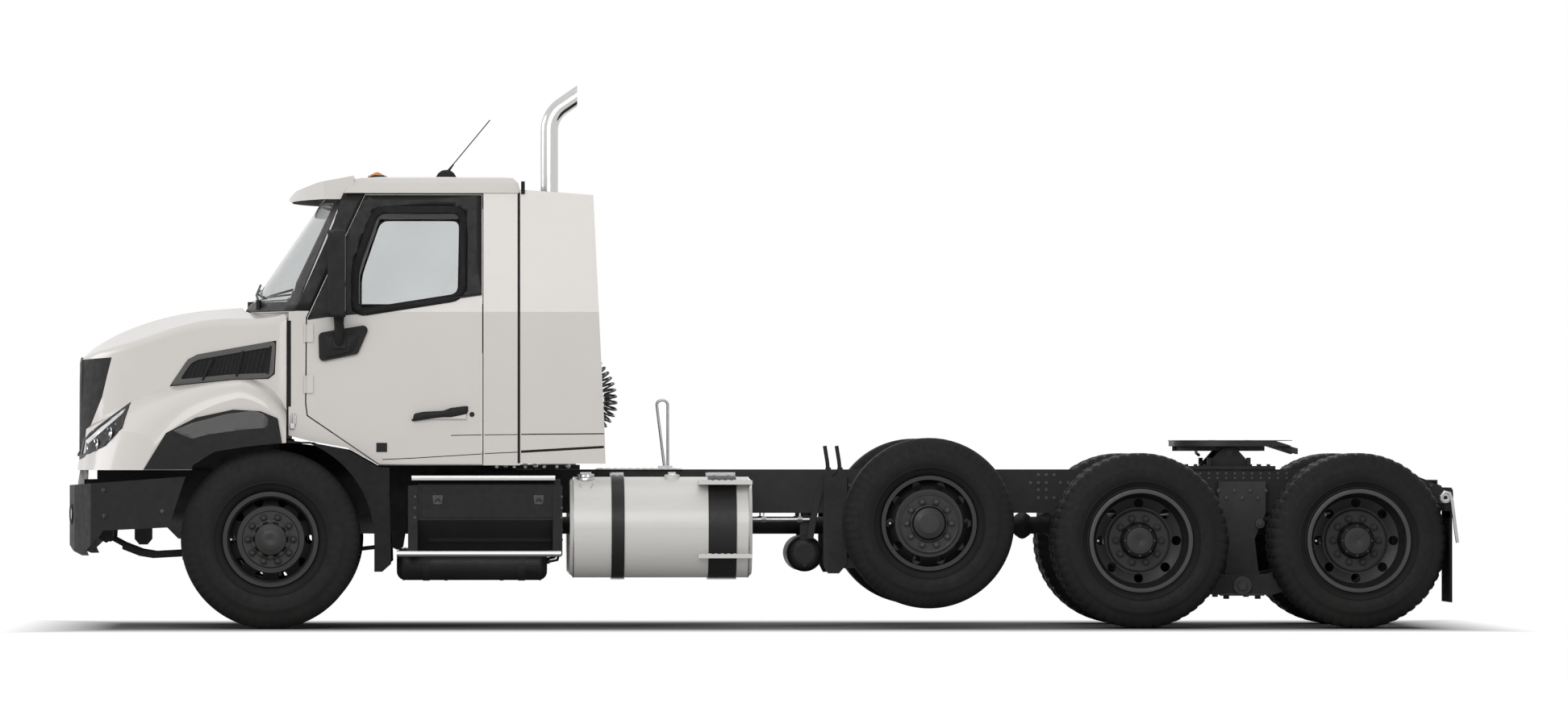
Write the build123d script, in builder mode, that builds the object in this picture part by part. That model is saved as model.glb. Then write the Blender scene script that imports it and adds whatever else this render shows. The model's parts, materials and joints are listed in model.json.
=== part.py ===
from build123d import *

import os
from math import cos, pi, radians, sin, sqrt, tan

os.makedirs("parts", exist_ok=True)

# Heavy-haul 8x4 tractor unit with a day cab, a raised pusher axle and a driven tandem.
# +X forward, +Y left, +Z up, origin on the ground under the middle of the bounding box.
# Millimetres. Stations along the truck are counted forward from the steer axle, and along
# the bogie forward from the bogie centre.

# ---- driving dimensions ----
FRONT_OVERHANG = 1280.0      # bumper face ahead of the steer axle
WHEELBASE = 6150.0           # steer axle to bogie centre
BOGIE_SPACING = 1372.0       # between the two drive axles
PUSHER_AHEAD = 2019.0        # pusher axle ahead of the bogie centre
REAR_OVERHANG = 1350.0       # bogie centre to the rearmost flap
OVERALL_LENGTH = FRONT_OVERHANG + WHEELBASE + REAR_OVERHANG
STEER_X = OVERALL_LENGTH / 2 - FRONT_OVERHANG
BOGIE_X = STEER_X - WHEELBASE
PUSHER_X = BOGIE_X + PUSHER_AHEAD
BOGIE_AT = BOGIE_X - STEER_X

FRAME_HALF = 432.0           # outer face of a rail from the centre line
RAIL_TOP = 1000.0
RAIL_DEPTH = 276.0
RAIL_BOTTOM = RAIL_TOP - RAIL_DEPTH
RAIL_FLANGE = 90.0
RAIL_GAUGE = 10.0
RAIL_FRONT = 1110.0
RAIL_REAR = BOGIE_AT - 1278.0
TAIL_TAPER = 268.0           # length over which the rail's top falls away
TAIL_DROP = 104.0

BODY_HALF = 1245.0           # tyre faces, tanks and fenders stay inside this
FIT = 0.3                    # seated pieces of different nodes
RUN = 8.0                    # gap round a door or hood

# wheels: centre height, tyre radius, tyre width, rim bead radius, rim width
STEER_R, STEER_W = 562.0, 430.0
PUSHER_R, PUSHER_W = 536.0, 389.0
DRIVE_R, DRIVE_W = 552.0, 280.0
RIM_225, RIM_245 = 285.8, 311.2      # bead seat radius of a 22.5 in and a 24.5 in rim
STEER_Y = BODY_HALF - STEER_W / 2
PUSHER_Y = BODY_HALF - PUSHER_W / 2
DRIVE_OUTER_Y = BODY_HALF - 5 - DRIVE_W / 2
TWIN_SPACING = 340.0
DRIVE_INNER_Y = DRIVE_OUTER_Y - TWIN_SPACING
STEER_Z, DRIVE_Z = STEER_R, DRIVE_R
PUSHER_LIFT = 127.0
PUSHER_Z = PUSHER_R + PUSHER_LIFT
KINGPIN_Y = 930.0
KINGPIN_R = 22.0
SPINDLE_R = 45.0

# cab
CAB_HALF = 1150.0
CAB_BACK = -1565.0
CAB_FLOOR = 1027.0
CAB_WALL = 55.0
FIREWALL = -112.0
BELT_Z = 1990.0
ROOF_EDGE_Z = 2748.0
ROOF_TOP = 2844.0
COWL_REACH = 190.0           # windscreen foot ahead of the steer axle
GLASS = 6.0
# hood
HOOD_SKIN = 22.0
HOOD_REAR = -98.0
HOOD_FOOT = 997.0
HINGE_AT, HINGE_Z = 1214.0, 911.0
HINGE_Y = 330.0
HINGE_PIN_R = 12.0
DOOR_HINGE_AT, DOOR_HINGE_Y = -216.0, CAB_HALF + 14

# fifth wheel
PLATE_TOP = 1184.0
TILT_AT, TILT_Z = BOGIE_AT + 71.0, 1108.0
TILT_PIN_R = 20.0


# ---- planes and prisms ----
def side(y=0.0, at=STEER_X):
    """Plane seen from the left: local x is forward, local y is up, normal to the right."""
    return Plane(origin=(at, y, 0), x_dir=(1, 0, 0), z_dir=(0, -1, 0))


def plan(z, at=STEER_X):
    return Plane(origin=(at, 0, z))


def front(x, at=STEER_X):
    """Plane across the truck: local x is left, local y is up, normal forward."""
    return Plane(origin=(at + x, 0, 0), x_dir=(0, 1, 0), z_dir=(1, 0, 0))


def prism(plane, points, amount, radius=0.0):
    """Closed outline on a plane, its corners rounded, pushed along the normal."""
    with BuildPart() as made:
        with BuildSketch(plane):
            with BuildLine():
                if radius:
                    FilletPolyline(*points, radius=radius, close=True)
                else:
                    Polyline(*points, close=True)
            make_face()
        extrude(amount=amount)
    return made.part


def side_prism(points, y_high, y_low, radius=0.0, at=STEER_X):
    return prism(side(y_high, at), points, y_high - y_low, radius)


def block(x_low, x_high, y_low, y_high, z_low, z_high, at=STEER_X):
    corners = [(x_low, y_low), (x_high, y_low), (x_high, y_high), (x_low, y_high)]
    return prism(plan(z_low, at), corners, z_high - z_low)


def cross_rod(x, z, radius, y_low, y_high, at=STEER_X):
    with BuildPart() as made:
        with BuildSketch(side(y_high, at)):
            with Locations((x, z)):
                Circle(radius)
        extrude(amount=y_high - y_low)
    return made.part


def long_rod(y, z, radius, x_low, x_high, at=STEER_X):
    with BuildPart() as made:
        with BuildSketch(front(x_low, at)):
            with Locations((y, z)):
                Circle(radius)
        extrude(amount=x_high - x_low)
    return made.part


def upright_rod(x, y, radius, z_low, z_high, at=STEER_X):
    with BuildPart() as made:
        with BuildSketch(plan(z_low, at)):
            with Locations((x, y)):
                Circle(radius)
        extrude(amount=z_high - z_low)
    return made.part


def both(piece):
    """A piece on the left and its mirror image on the right."""
    return [piece, mirror(piece, Plane.XZ)]


def finish(built, label):
    built.part.label = label
    export_step(built.part, f"parts/{label}.step")


# ---- chassis frame ----
with BuildPart() as frame:
    rail_side = [
        (RAIL_REAR, RAIL_BOTTOM + 40), (RAIL_REAR + 120, RAIL_BOTTOM), (RAIL_FRONT, RAIL_BOTTOM),
        (RAIL_FRONT, RAIL_TOP), (RAIL_REAR + TAIL_TAPER, RAIL_TOP), (RAIL_REAR, RAIL_TOP - TAIL_DROP)]
    with BuildSketch(side(FRAME_HALF)):
        with BuildLine():
            Polyline(*rail_side, close=True)
        make_face()
    extrude(amount=RAIL_FLANGE)
    with BuildSketch(side(FRAME_HALF - RAIL_GAUGE)):
        with BuildLine():
            Polyline(*rail_side, close=True)
        make_face()
        offset(amount=-RAIL_GAUGE, mode=Mode.REPLACE)
    extrude(amount=RAIL_FLANGE, mode=Mode.SUBTRACT)
    mirror(about=Plane.XZ)
    # crossmembers: channel sections between the webs, station and depth
    web_span = FRAME_HALF - RAIL_GAUGE
    for station, depth in ((RAIL_FRONT - 70, 150), (-1500, 170), (-2700, 170), (-3700, 170),
                           (BOGIE_AT + 1250, 170), (BOGIE_AT + 90, 200), (BOGIE_AT - 900, 170),
                           (RAIL_REAR + 60, 120)):
        mid = (RAIL_TOP + RAIL_BOTTOM) / 2 + 12
        low, high = mid - depth / 2, mid + depth / 2
        with BuildSketch(side(web_span)):
            with BuildLine():
                Polyline((station - 35, low), (station + 35, low), (station + 35, low + 10),
                         (station - 25, low + 10), (station - 25, high - 10),
                         (station + 35, high - 10), (station + 35, high), (station - 35, high),
                         close=True)
            make_face()
        extrude(amount=2 * web_span)
    # sills on the rails, which carry the cab's floor
    for sill in both(block(CAB_BACK + 20, -560, FRAME_HALF - 80, FRAME_HALF - 6, RAIL_TOP - 4,
                           CAB_FLOOR - FIT)):
        add(sill)
    # hood hinge lugs on the front crossmember
    for lug in both(side_prism([(RAIL_FRONT - 45, RAIL_TOP - 160), (RAIL_FRONT - 45, RAIL_TOP - 60),
                                (HINGE_AT, HINGE_Z + 26), (HINGE_AT + 22, HINGE_Z),
                                (HINGE_AT, HINGE_Z - 26)], HINGE_Y, HINGE_Y - 24)):
        add(lug)
    # tail hook plate behind the last crossmember
    for hook in both(side_prism([(RAIL_REAR, RAIL_BOTTOM + 45), (RAIL_REAR - 45, RAIL_BOTTOM + 10),
                                 (RAIL_REAR - 45, RAIL_TOP - 130), (RAIL_REAR, RAIL_TOP - 112)],
                                FRAME_HALF, FRAME_HALF - 70)):
        add(hook)
    for pivot in both(cross_rod(HINGE_AT, HINGE_Z, HINGE_PIN_R + FIT, HINGE_Y + 1, HINGE_Y - 60)):
        add(pivot, mode=Mode.SUBTRACT)
finish(frame, "frame")

# ---- bumper: bent plate, cut to its side outline ----
BUMPER_SKIN = 24.0
bumper_side = [(1290, 901), (1290, 536), (1250, 488), (1189, 460), (1144, 460), (1159, 496), (1078, 577),
               (1052, 617), (637, 637), (531, 956)]
bumper_mask = side_prism(bumper_side, BODY_HALF + 5, -BODY_HALF - 5)
with BuildPart() as bumper:
    hull = [(480, -BODY_HALF), (900, -1205), (1130, -1060), (1240, -800), (FRONT_OVERHANG, -540),
            (FRONT_OVERHANG, 540),
            (1240, 800), (1130, 1060), (900, 1205), (480, BODY_HALF)]
    with BuildSketch(plan(440)):
        with BuildLine():
            Polyline(*hull, close=True)
        bent = make_face()
        offset(bent, amount=-BUMPER_SKIN, mode=Mode.SUBTRACT)
    extrude(amount=530)
    add(bumper_mask, mode=Mode.INTERSECT)
    # top flange outboard of the hood hinges
    for flange in both(prism(plan(881), [(1258, 480), (1150, 480), (1080, 1000), (1105, 1040),
                                         (1217, 795), (1258, 538)], 20)):
        add(flange)
    # two tow slots in the face, and the brackets to the rail ends
    for sign in (-1, 1):
        with Locations((STEER_X + 1265, sign * 300, 735)):
            Box(60, 150, 100, mode=Mode.SUBTRACT)
    for bracket in both(block(RAIL_FRONT, FRONT_OVERHANG - BUMPER_SKIN + 2, FRAME_HALF - 30, FRAME_HALF,
                              700, 900)):
        add(bracket)
finish(bumper, "bumper")

# ---- radiator and its shroud ----
with BuildPart() as radiator:
    add(block(900, 990, -440, 440, RAIL_TOP, 1600))
    add(block(850, 900, -400, 400, 1040, 1560))
    add(block(990, 1030, -400, 400, 1040, 1400))
    fillet(radiator.edges().filter_by(Axis.X), radius=12)
finish(radiator, "radiator")

# ---- engine and gearbox, one closed block between the rails ----
with BuildPart() as engine:
    add(side_prism([(-40, 760), (60, 560), (600, 560), (800, 760), (800, 1400), (700, 1500),
                    (40, 1500), (-40, 1400)], 290, -290))
    add(side_prism([(-40, 960), (-40, 600), (-700, 590), (-1060, 590), (-1060, 700), (-700, 900)],
                   200, -200))
    for mount in both(block(150, 290, 280, FRAME_HALF - RAIL_GAUGE, 800, 900)):
        add(mount)
    for mount in both(block(-560, -460, 190, FRAME_HALF - RAIL_GAUGE, 780, 860)):
        add(mount)
finish(engine, "engine")


# ---- steer axle: dropped beam, king pin eyes and leaf springs ----
SPRING_Y = 420.0
SPRING_WIDTH = 100.0
LEAF = 20.0
BEAM_LOW = 324.0
BEAM_DEPTH = 96.0
EYE_HALF = 60.0
EYE_R = KINGPIN_R + 26
beam_outline = [(-KINGPIN_Y, STEER_Z - 50), (-735, STEER_Z - 58), (-560, BEAM_LOW), (560, BEAM_LOW),
                (735, STEER_Z - 58), (KINGPIN_Y, STEER_Z - 50), (KINGPIN_Y, STEER_Z + 50),
                (750, STEER_Z + 38), (530, BEAM_LOW + BEAM_DEPTH), (-530, BEAM_LOW + BEAM_DEPTH),
                (-750, STEER_Z + 38), (-KINGPIN_Y, STEER_Z + 50)]
# leaf line, forward of the steer axle and up: front eye, dip, seat on the beam, rear shackle
leaf_line = [(1052, 590), (950, 535), (840, 492), (754, 478), (570, 488), (0, 482), (-430, 490),
             (-790, 530)]
with BuildPart() as steer_axle:
    add(prism(front(-45), beam_outline, 90))
    for pin_side in (-1, 1):
        with Locations((STEER_X, pin_side * KINGPIN_Y, STEER_Z)):
            Cylinder(EYE_R, 2 * EYE_HALF)
            Cylinder(KINGPIN_R + FIT, 400, mode=Mode.SUBTRACT)
    for row, shorten in enumerate((0, 90, 330)):
        leaf = [(x, z - row * LEAF) for x, z in leaf_line if -790 + shorten * 1.2 <= x <= 1052 - shorten]
        top = leaf
        bottom = [(x, z - LEAF) for x, z in reversed(leaf)]
        for half in both(side_prism(top + bottom, SPRING_Y + SPRING_WIDTH / 2,
                                    SPRING_Y - SPRING_WIDTH / 2)):
            add(half)
    # spring seats, front hangers and rear shackles up to the rail's lower flange
    for piece in both(block(-75, 75, SPRING_Y - 60, SPRING_Y + 60, BEAM_LOW + BEAM_DEPTH - 70, 450)):
        add(piece)
    hanger = [(1000, RAIL_BOTTOM), (1110, RAIL_BOTTOM), (1095, 560), (1052, 535), (1010, 560)]
    for piece in both(side_prism(hanger, SPRING_Y + 58, SPRING_Y - 58)):
        add(piece)
    shackle = [(-860, RAIL_BOTTOM), (-740, RAIL_BOTTOM), (-760, 505), (-790, 490), (-825, 505)]
    for piece in both(side_prism(shackle, SPRING_Y + 58, SPRING_Y - 58)):
        add(piece)
    # steering gear on the left rail
    add(side_prism([(760, 800), (870, 800), (870, 560), (840, 525), (790, 525), (760, 560)],
                   FRAME_HALF + 110, FRAME_HALF))
finish(steer_axle, "steer_axle")


# ---- steering knuckles and tie rod ----
ARM_X, ARM_Y = -190.0, KINGPIN_Y - 110
YOKE_GAP = 6.0


def knuckle_part():
    low = STEER_Z - EYE_HALF - YOKE_GAP
    high = STEER_Z + EYE_HALF + YOKE_GAP
    pieces = [
        block(-48, 48, KINGPIN_Y + EYE_R + YOKE_GAP, KINGPIN_Y + 80, low - 40, high + 40),
        block(-48, 48, KINGPIN_Y, KINGPIN_Y + 80, high, high + 40),
        block(-48, 48, KINGPIN_Y, KINGPIN_Y + 80, low - 40, low),
        upright_rod(0, KINGPIN_Y, 48, high, high + 40),
        upright_rod(0, KINGPIN_Y, 48, low - 40, low),
        upright_rod(0, KINGPIN_Y, KINGPIN_R, low - 40, high + 40),
        cross_rod(0, STEER_Z, 178, KINGPIN_Y + 92, KINGPIN_Y + 80),
        cross_rod(0, STEER_Z, SPINDLE_R, STEER_Y + 60, KINGPIN_Y + 70),
        prism(plan(low - 40), [(30, KINGPIN_Y + 44), (30, KINGPIN_Y - 40), (ARM_X + 60, ARM_Y - 24),
                               (ARM_X - 26, ARM_Y - 26), (ARM_X - 26, ARM_Y + 26),
                               (ARM_X + 40, ARM_Y + 40), (-30, KINGPIN_Y + 44)], 26)]
    return pieces


with BuildPart() as knuckle_left:
    for piece in knuckle_part():
        add(piece)
finish(knuckle_left, "knuckle_left")

with BuildPart() as knuckle_right:
    for piece in knuckle_part():
        add(mirror(piece, Plane.XZ))
finish(knuckle_right, "knuckle_right")

TIE_TOP = STEER_Z - EYE_HALF - YOKE_GAP - 40 - FIT
TIE_Z = TIE_TOP - 60
with BuildPart() as tie_rod:
    add(cross_rod(ARM_X, TIE_Z, 19, ARM_Y, -ARM_Y))
    add(upright_rod(ARM_X, ARM_Y, 27, TIE_Z - 26, TIE_TOP))
    add(upright_rod(ARM_X, -ARM_Y, 27, TIE_Z - 26, TIE_TOP - RUN))
finish(tie_rod, "tie_rod")


# ---- cab volumes: leaning sides, bowed windscreen, crowned roof ----
# height, half width, pillar station, nose station, back station
CAB_RINGS = [(BELT_Z, CAB_HALF, -150, COWL_REACH, CAB_BACK),
             (ROOF_EDGE_Z, 1062, -465, -330, CAB_BACK),
             (2802, 1042, -492, -352, CAB_BACK + 12),
             (2834, 985, -560, -415, CAB_BACK + 45),
             (ROOF_TOP, 880, -680, -545, CAB_BACK + 100)]
COWL_HALF, COWL_DEPTH = 1030.0, 90.0


def cab_volume(inset, floor_rise=0.0, roof_drop=0.0):
    """The cab's outer form drawn in by inset all round."""
    sill = [(FIREWALL - inset, BELT_Z), (FIREWALL - inset, 1214 + floor_rise),
            (-248 - inset * 0.2, 1179 + floor_rise), (-476 - inset * 0.2, 1138 + floor_rise),
            (-678, CAB_FLOOR + floor_rise), (CAB_BACK + inset, CAB_FLOOR + floor_rise),
            (CAB_BACK + inset, BELT_Z)]
    lower = side_prism(sill, CAB_HALF - inset, -CAB_HALF + inset)
    with BuildPart() as upper:
        for height, half, pillar, nose, back in CAB_RINGS:
            drop = roof_drop if height > ROOF_EDGE_Z else 0.0
            with BuildSketch(plan(height - drop)):
                with BuildLine():
                    ThreePointArc((pillar - inset, inset - half), (nose - inset, 0),
                                  (pillar - inset, half - inset))
                    Polyline((pillar - inset, half - inset), (back + inset, half - inset),
                             (back + inset, inset - half), (pillar - inset, inset - half))
                make_face()
        loft(ruled=True)
    return lower + upper.part


def cowl_volume(inset):
    with BuildPart() as made:
        with BuildSketch(plan(BELT_Z - COWL_DEPTH + inset)):
            with BuildLine():
                ThreePointArc((FIREWALL - 5, inset - COWL_HALF), (COWL_REACH - inset, 0),
                              (FIREWALL - 5, COWL_HALF - inset))
                Line((FIREWALL - 5, COWL_HALF - inset), (FIREWALL - 5, inset - COWL_HALF))
            make_face()
        extrude(amount=COWL_DEPTH - inset)
    return made.part


cab_outer = cab_volume(0)
cab_inner = cab_volume(CAB_WALL, floor_rise=70, roof_drop=45)

DOOR_EDGE = [(-223, 1417), (-228, 1953), (-590, 2728), (-1326, 2728), (-1326, 1034), (-682, 1034),
             (-233, 1341)]
DOOR_GLASS = [(-668, 2621), (-1194, 2621), (-1184, 2095), (-540, 1994), (-540, 2250)]
SCREEN = [(-1015, 2062), (0, 2050), (1015, 2062), (925, 2672), (0, 2690), (-925, 2672)]
REAR_GLASS = [(-520, 2020), (520, 2020), (520, 2470), (-520, 2470)]


def grown(points, amount):
    """The outline on a side plane, its edge moved outward by amount."""
    with BuildSketch() as flat:
        with BuildLine():
            Polyline(*points, close=True)
        make_face()
        if amount:
            offset(amount=amount, kind=Kind.INTERSECTION)
    return flat.sketch


def grown_prism(plane, points, amount, length):
    with BuildPart() as made:
        with BuildSketch(plane):
            add(grown(points, amount))
        extrude(amount=length)
    return made.part


def door_opening(grow):
    """Prism through one side wall that leaves the cab's floor and toe board whole."""
    through = grown_prism(side(CAB_HALF + 150), DOOR_EDGE, grow, 310)
    inner_wall = CAB_HALF - CAB_WALL - grow
    return through - block(-1500, 0, 800, inner_wall, CAB_FLOOR - 50, 1400)


with BuildPart() as cab_shell:
    add(cab_outer)
    add(cowl_volume(0))
    add(cab_inner, mode=Mode.SUBTRACT)
    for opening in both(door_opening(RUN)):
        add(opening, mode=Mode.SUBTRACT)
    add(grown_prism(front(-700), SCREEN, 0, 1100), mode=Mode.SUBTRACT)
    add(grown_prism(front(CAB_BACK - 60), REAR_GLASS, 0, 200), mode=Mode.SUBTRACT)
finish(cab_shell, "cab_shell")

glass_skin = cab_volume(8) - cab_volume(8 + GLASS)
with BuildPart() as cab_glass:
    add(glass_skin)
    keep = grown_prism(front(-700), SCREEN, -FIT, 1100)
    keep_rear = grown_prism(front(CAB_BACK - 60), REAR_GLASS, -FIT, 200)
    add(keep + keep_rear, mode=Mode.INTERSECT)
finish(cab_glass, "cab_glass")


# ---- doors with their windows ----
door_panel = (cab_outer - cab_inner) & door_opening(0)
door_panel = door_panel - grown_prism(side(1300), DOOR_GLASS, 0, 400)
pane = (cab_volume(22) - cab_volume(22 + GLASS)) & grown_prism(side(1300), DOOR_GLASS, -FIT, 400)
hinge_barrels = [upright_rod(DOOR_HINGE_AT, DOOR_HINGE_Y, 8, low, low + 110)
                 + block(DOOR_HINGE_AT - 50, DOOR_HINGE_AT, CAB_HALF - 2, DOOR_HINGE_Y, low, low + 110)
                 - block(DOOR_HINGE_AT - 16, DOOR_HINGE_AT, CAB_HALF - 3, DOOR_HINGE_Y - 8, low, low + 110)
                 for low in (1480, 1800)]
for mirrored, word in ((False, "left"), (True, "right")):
    with BuildPart() as door:
        add(door_panel)
        add(block(-1225, -885, CAB_HALF - 4, CAB_HALF + 22, 1318, 1350))
        for barrel in hinge_barrels:
            add(barrel)
        if mirrored:
            mirror(about=Plane.XZ, mode=Mode.REPLACE)
    finish(door, f"door_{word}")
    with BuildPart() as door_window:
        add(mirror(pane, Plane.XZ) if mirrored else pane)
    finish(door_window, f"door_window_{word}")

# ---- mirrors: shell on an arm from a plate at the belt ----
MIRROR_SEAT = CAB_HALF + FIT
with BuildPart() as mirror_left:
    add(side_prism([(-299, 1857), (-627, 1913), (-546, 1725), (-304, 1675)], MIRROR_SEAT + 26,
                   MIRROR_SEAT, radius=30))
    add(side_prism([(-390, 1760), (-470, 1760), (-455, 1960), (-405, 1960)], MIRROR_SEAT + 60,
                   MIRROR_SEAT + 10))
    add(block(-460, -400, MIRROR_SEAT + 15, MIRROR_SEAT + 190, 1930, 1985))
    with BuildSketch(front(-470)):
        with BuildLine():
            FilletPolyline((1210, 1955), (1470, 1955), (1480, 2490), (1220, 2505), radius=40, close=True)
        make_face()
    extrude(amount=110)
finish(mirror_left, "mirror_left")

with BuildPart() as mirror_right:
    add(mirror(mirror_left.part, Plane.XZ))
finish(mirror_right, "mirror_right")

# ---- sun visor: thin wedge with closed ends over the windscreen ----
VISOR_HALF = 1050.0
visor_top = [(-96, 2718), (-152, 2763), (-288, 2805), (-520, 2848)]
visor_side = visor_top + [(-520, 2700), (-120, 2700)]
visor_core = [(x - 14, z - 18) for x, z in visor_top] + [(-534, 2690), (-110, 2690)]


def visor_volume(points, half, reach):
    with BuildPart() as made:
        with BuildSketch(side(half)):
            with BuildLine():
                Polyline(*points, close=True)
            make_face()
        extrude(amount=2 * half)
        with BuildSketch(plan(2600)):
            with BuildLine():
                ThreePointArc((-330, -half), (reach, 0), (-330, half))
                Polyline((-330, half), (-560, half), (-560, -half), (-330, -half))
            make_face()
        extrude(amount=300, mode=Mode.INTERSECT)
    return made.part


with BuildPart() as sun_visor:
    add(visor_volume(visor_side, VISOR_HALF, -96))
    add(visor_volume(visor_core, VISOR_HALF - 16, -114), mode=Mode.SUBTRACT)
    add(cab_volume(-FIT, roof_drop=-FIT), mode=Mode.SUBTRACT)
finish(sun_visor, "sun_visor")

# ---- seats, dashboard, steering wheel ----
SEAT_Y = 520.0
CABIN_FLOOR = CAB_FLOOR + 70
seat_side = [(-760, 1500), (-770, 1625), (-1200, 1600), (-1262, 2050), (-1285, 2085), (-1365, 2085),
             (-1390, 2040), (-1350, 1500)]
with BuildPart() as seats:
    for driver in both(side_prism(seat_side, SEAT_Y + 260, SEAT_Y - 260, radius=30)):
        add(driver)
    for pedestal in both(block(-1250, -860, SEAT_Y - 180, SEAT_Y + 180, CABIN_FLOOR, 1510)):
        add(pedestal)
finish(seats, "seats")

DASH_FRONT = FIREWALL - CAB_WALL
WHEEL_TILT = 42.0
with BuildPart() as dashboard:
    add(side_prism([(DASH_FRONT, 1640), (DASH_FRONT, 1985), (-300, 1985), (-440, 1900), (-470, 1760),
                    (-400, 1640)], CAB_HALF - CAB_WALL - 14, CAB_WALL + 14 - CAB_HALF, radius=25))
    wheel_plane = Plane(origin=(STEER_X - 620, SEAT_Y, 1905), x_dir=(0, 1, 0),
                        z_dir=(-sin(radians(WHEEL_TILT)), 0, cos(radians(WHEEL_TILT))))
    with BuildSketch(wheel_plane):
        Circle(225)
        Circle(197, mode=Mode.SUBTRACT)
        Rectangle(420, 40)
        Circle(60)
    extrude(amount=26)
    with BuildSketch(wheel_plane):
        Circle(32)
    extrude(amount=-330)
finish(dashboard, "dashboard")

# ---- side fairings behind the cab: upright panels that follow the cab's side ----
fairing_edge = [(CAB_BACK - FIT, 1037), (-2100, 1037), (-2095, 1225), (-2024, 2727), (CAB_BACK - FIT, 2760)]
FAIRING_SKIN = 28.0
with BuildPart() as cab_fairings:
    section = [(CAB_HALF, 1000), (CAB_HALF, BELT_Z), (1060, 2790), (1060 - FAIRING_SKIN, 2790),
               (CAB_HALF - FAIRING_SKIN, BELT_Z), (CAB_HALF - FAIRING_SKIN, 1000)]
    panel = prism(front(-2150), section, 600) & side_prism(fairing_edge, 1300, 900)
    for piece in both(panel):
        add(piece)
finish(cab_fairings, "cab_fairings")

# ---- roof fittings: marker lamps, horn dome and antenna ----
with BuildPart() as roof_fittings:
    for place in (-640, -320, 0, 320, 640):
        with BuildSketch(plan(ROOF_TOP - 4)):
            with Locations((-640 - abs(place) * 0.06, place)):
                RectangleRounded(120, 60, 20)
        extrude(amount=46, taper=18)
    with BuildSketch(plan(ROOF_TOP - 1)):
        with Locations((-1100, 250)):
            RectangleRounded(130, 60, 25)
    extrude(amount=62, taper=12)
    whip_foot = (STEER_X - 1110, 250, ROOF_TOP + 55)
    whip_tip = (STEER_X - 1378, 250, ROOF_TOP + 380)
    with BuildLine():
        whip = Line(whip_foot, whip_tip)
    with BuildSketch(Plane(origin=whip_foot, z_dir=whip % 0)):
        Circle(5)
    sweep()
    add(cab_volume(-FIT, roof_drop=-FIT), mode=Mode.SUBTRACT)
finish(roof_fittings, "roof_fittings")

# ---- exhaust stack behind the cab's right side ----
STACK_AT, STACK_Y, STACK_R = -1765.0, -850.0, 57.0
BOX_TOP = 940.0               # top of the step boxes
MUFFLER_R = 110.0
with BuildPart() as exhaust:
    with BuildLine():
        FilletPolyline((STEER_X + STACK_AT, STACK_Y, 2600), (STEER_X + STACK_AT, STACK_Y, 3290),
                       (STEER_X + STACK_AT - 230, STACK_Y, 3450), radius=190)
    with BuildSketch(Plane(origin=(STEER_X + STACK_AT, STACK_Y, 2600))):
        Circle(STACK_R)
    sweep()
    with Locations((STEER_X + STACK_AT - 330, STACK_Y, 3400)):
        Box(300, 300, 500, mode=Mode.SUBTRACT)
    add(upright_rod(STACK_AT, STACK_Y, MUFFLER_R, 1250, 2560))
    with BuildSketch(Plane(origin=(STEER_X + STACK_AT, STACK_Y, 2560))):
        Circle(MUFFLER_R)
    with BuildSketch(Plane(origin=(STEER_X + STACK_AT, STACK_Y, 2740))):
        Circle(STACK_R + 8)
    loft()
    add(upright_rod(STACK_AT, STACK_Y, STACK_R, BOX_TOP + FIT, 1260))
    # cab-back bracket rows carry the muffler
    for low in (1500, 2200):
        add(block(STACK_AT, CAB_BACK - FIT, STACK_Y - 40, STACK_Y + 40, low, low + 50))
finish(exhaust, "exhaust")

# ---- hood: nose and fenders as two lofted forms, each a skin of one thickness ----
# station forward, crown height, shoulder height, shoulder half width, foot half width
NOSE_RINGS = [(1214, 1705, 1690, 330, 480), (1130, 1782, 1735, 480, 640), (982, 1865, 1775, 610, 760),
              (668, 1973, 1875, 760, 900), (238, 2028, 1948, 950, 1060),
              (HOOD_REAR, 2050, 1985, 1075, 1150)]
# offset left, foot, front top, its height, middle station and height, crest height, rear height
FENDER_RINGS = [(300, 1228, 1215, 1250, 700, 1530, 1600, 1500),
                (575, 1203, 1178, 1250, 665, 1526, 1596, 1478),
                (850, 1165, 1120, 1250, 620, 1520, 1590, 1450),
                (1100, 1010, 930, 1240, 560, 1490, 1570, 1380),
                (1210, 860, 780, 1210, 500, 1430, 1530, 1300),
                (1240, 800, 720, 1150, 450, 1360, 1450, 1230)]
CREST_AT = 187.0
FENDER_FACE = 1200.0         # rings past this offset make the outer face


def nose_volume(inset, drop=0.0, back=0.0):
    with BuildPart() as made:
        for station, crown, shoulder, half, foot in NOSE_RINGS:
            if station == NOSE_RINGS[0][0]:
                station = station - inset
            elif station == HOOD_REAR:
                station = station - back
            half, foot = half - inset, foot - inset
            with BuildSketch(front(station)):
                with BuildLine():
                    over = FilletPolyline((-foot, HOOD_FOOT - drop), (-half, shoulder - inset),
                                          (0, crown - inset), (half, shoulder - inset),
                                          (foot, HOOD_FOOT - drop), radius=60)
                    Line(over @ 1, over @ 0)
                make_face()
        loft()
    return made.part


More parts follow.
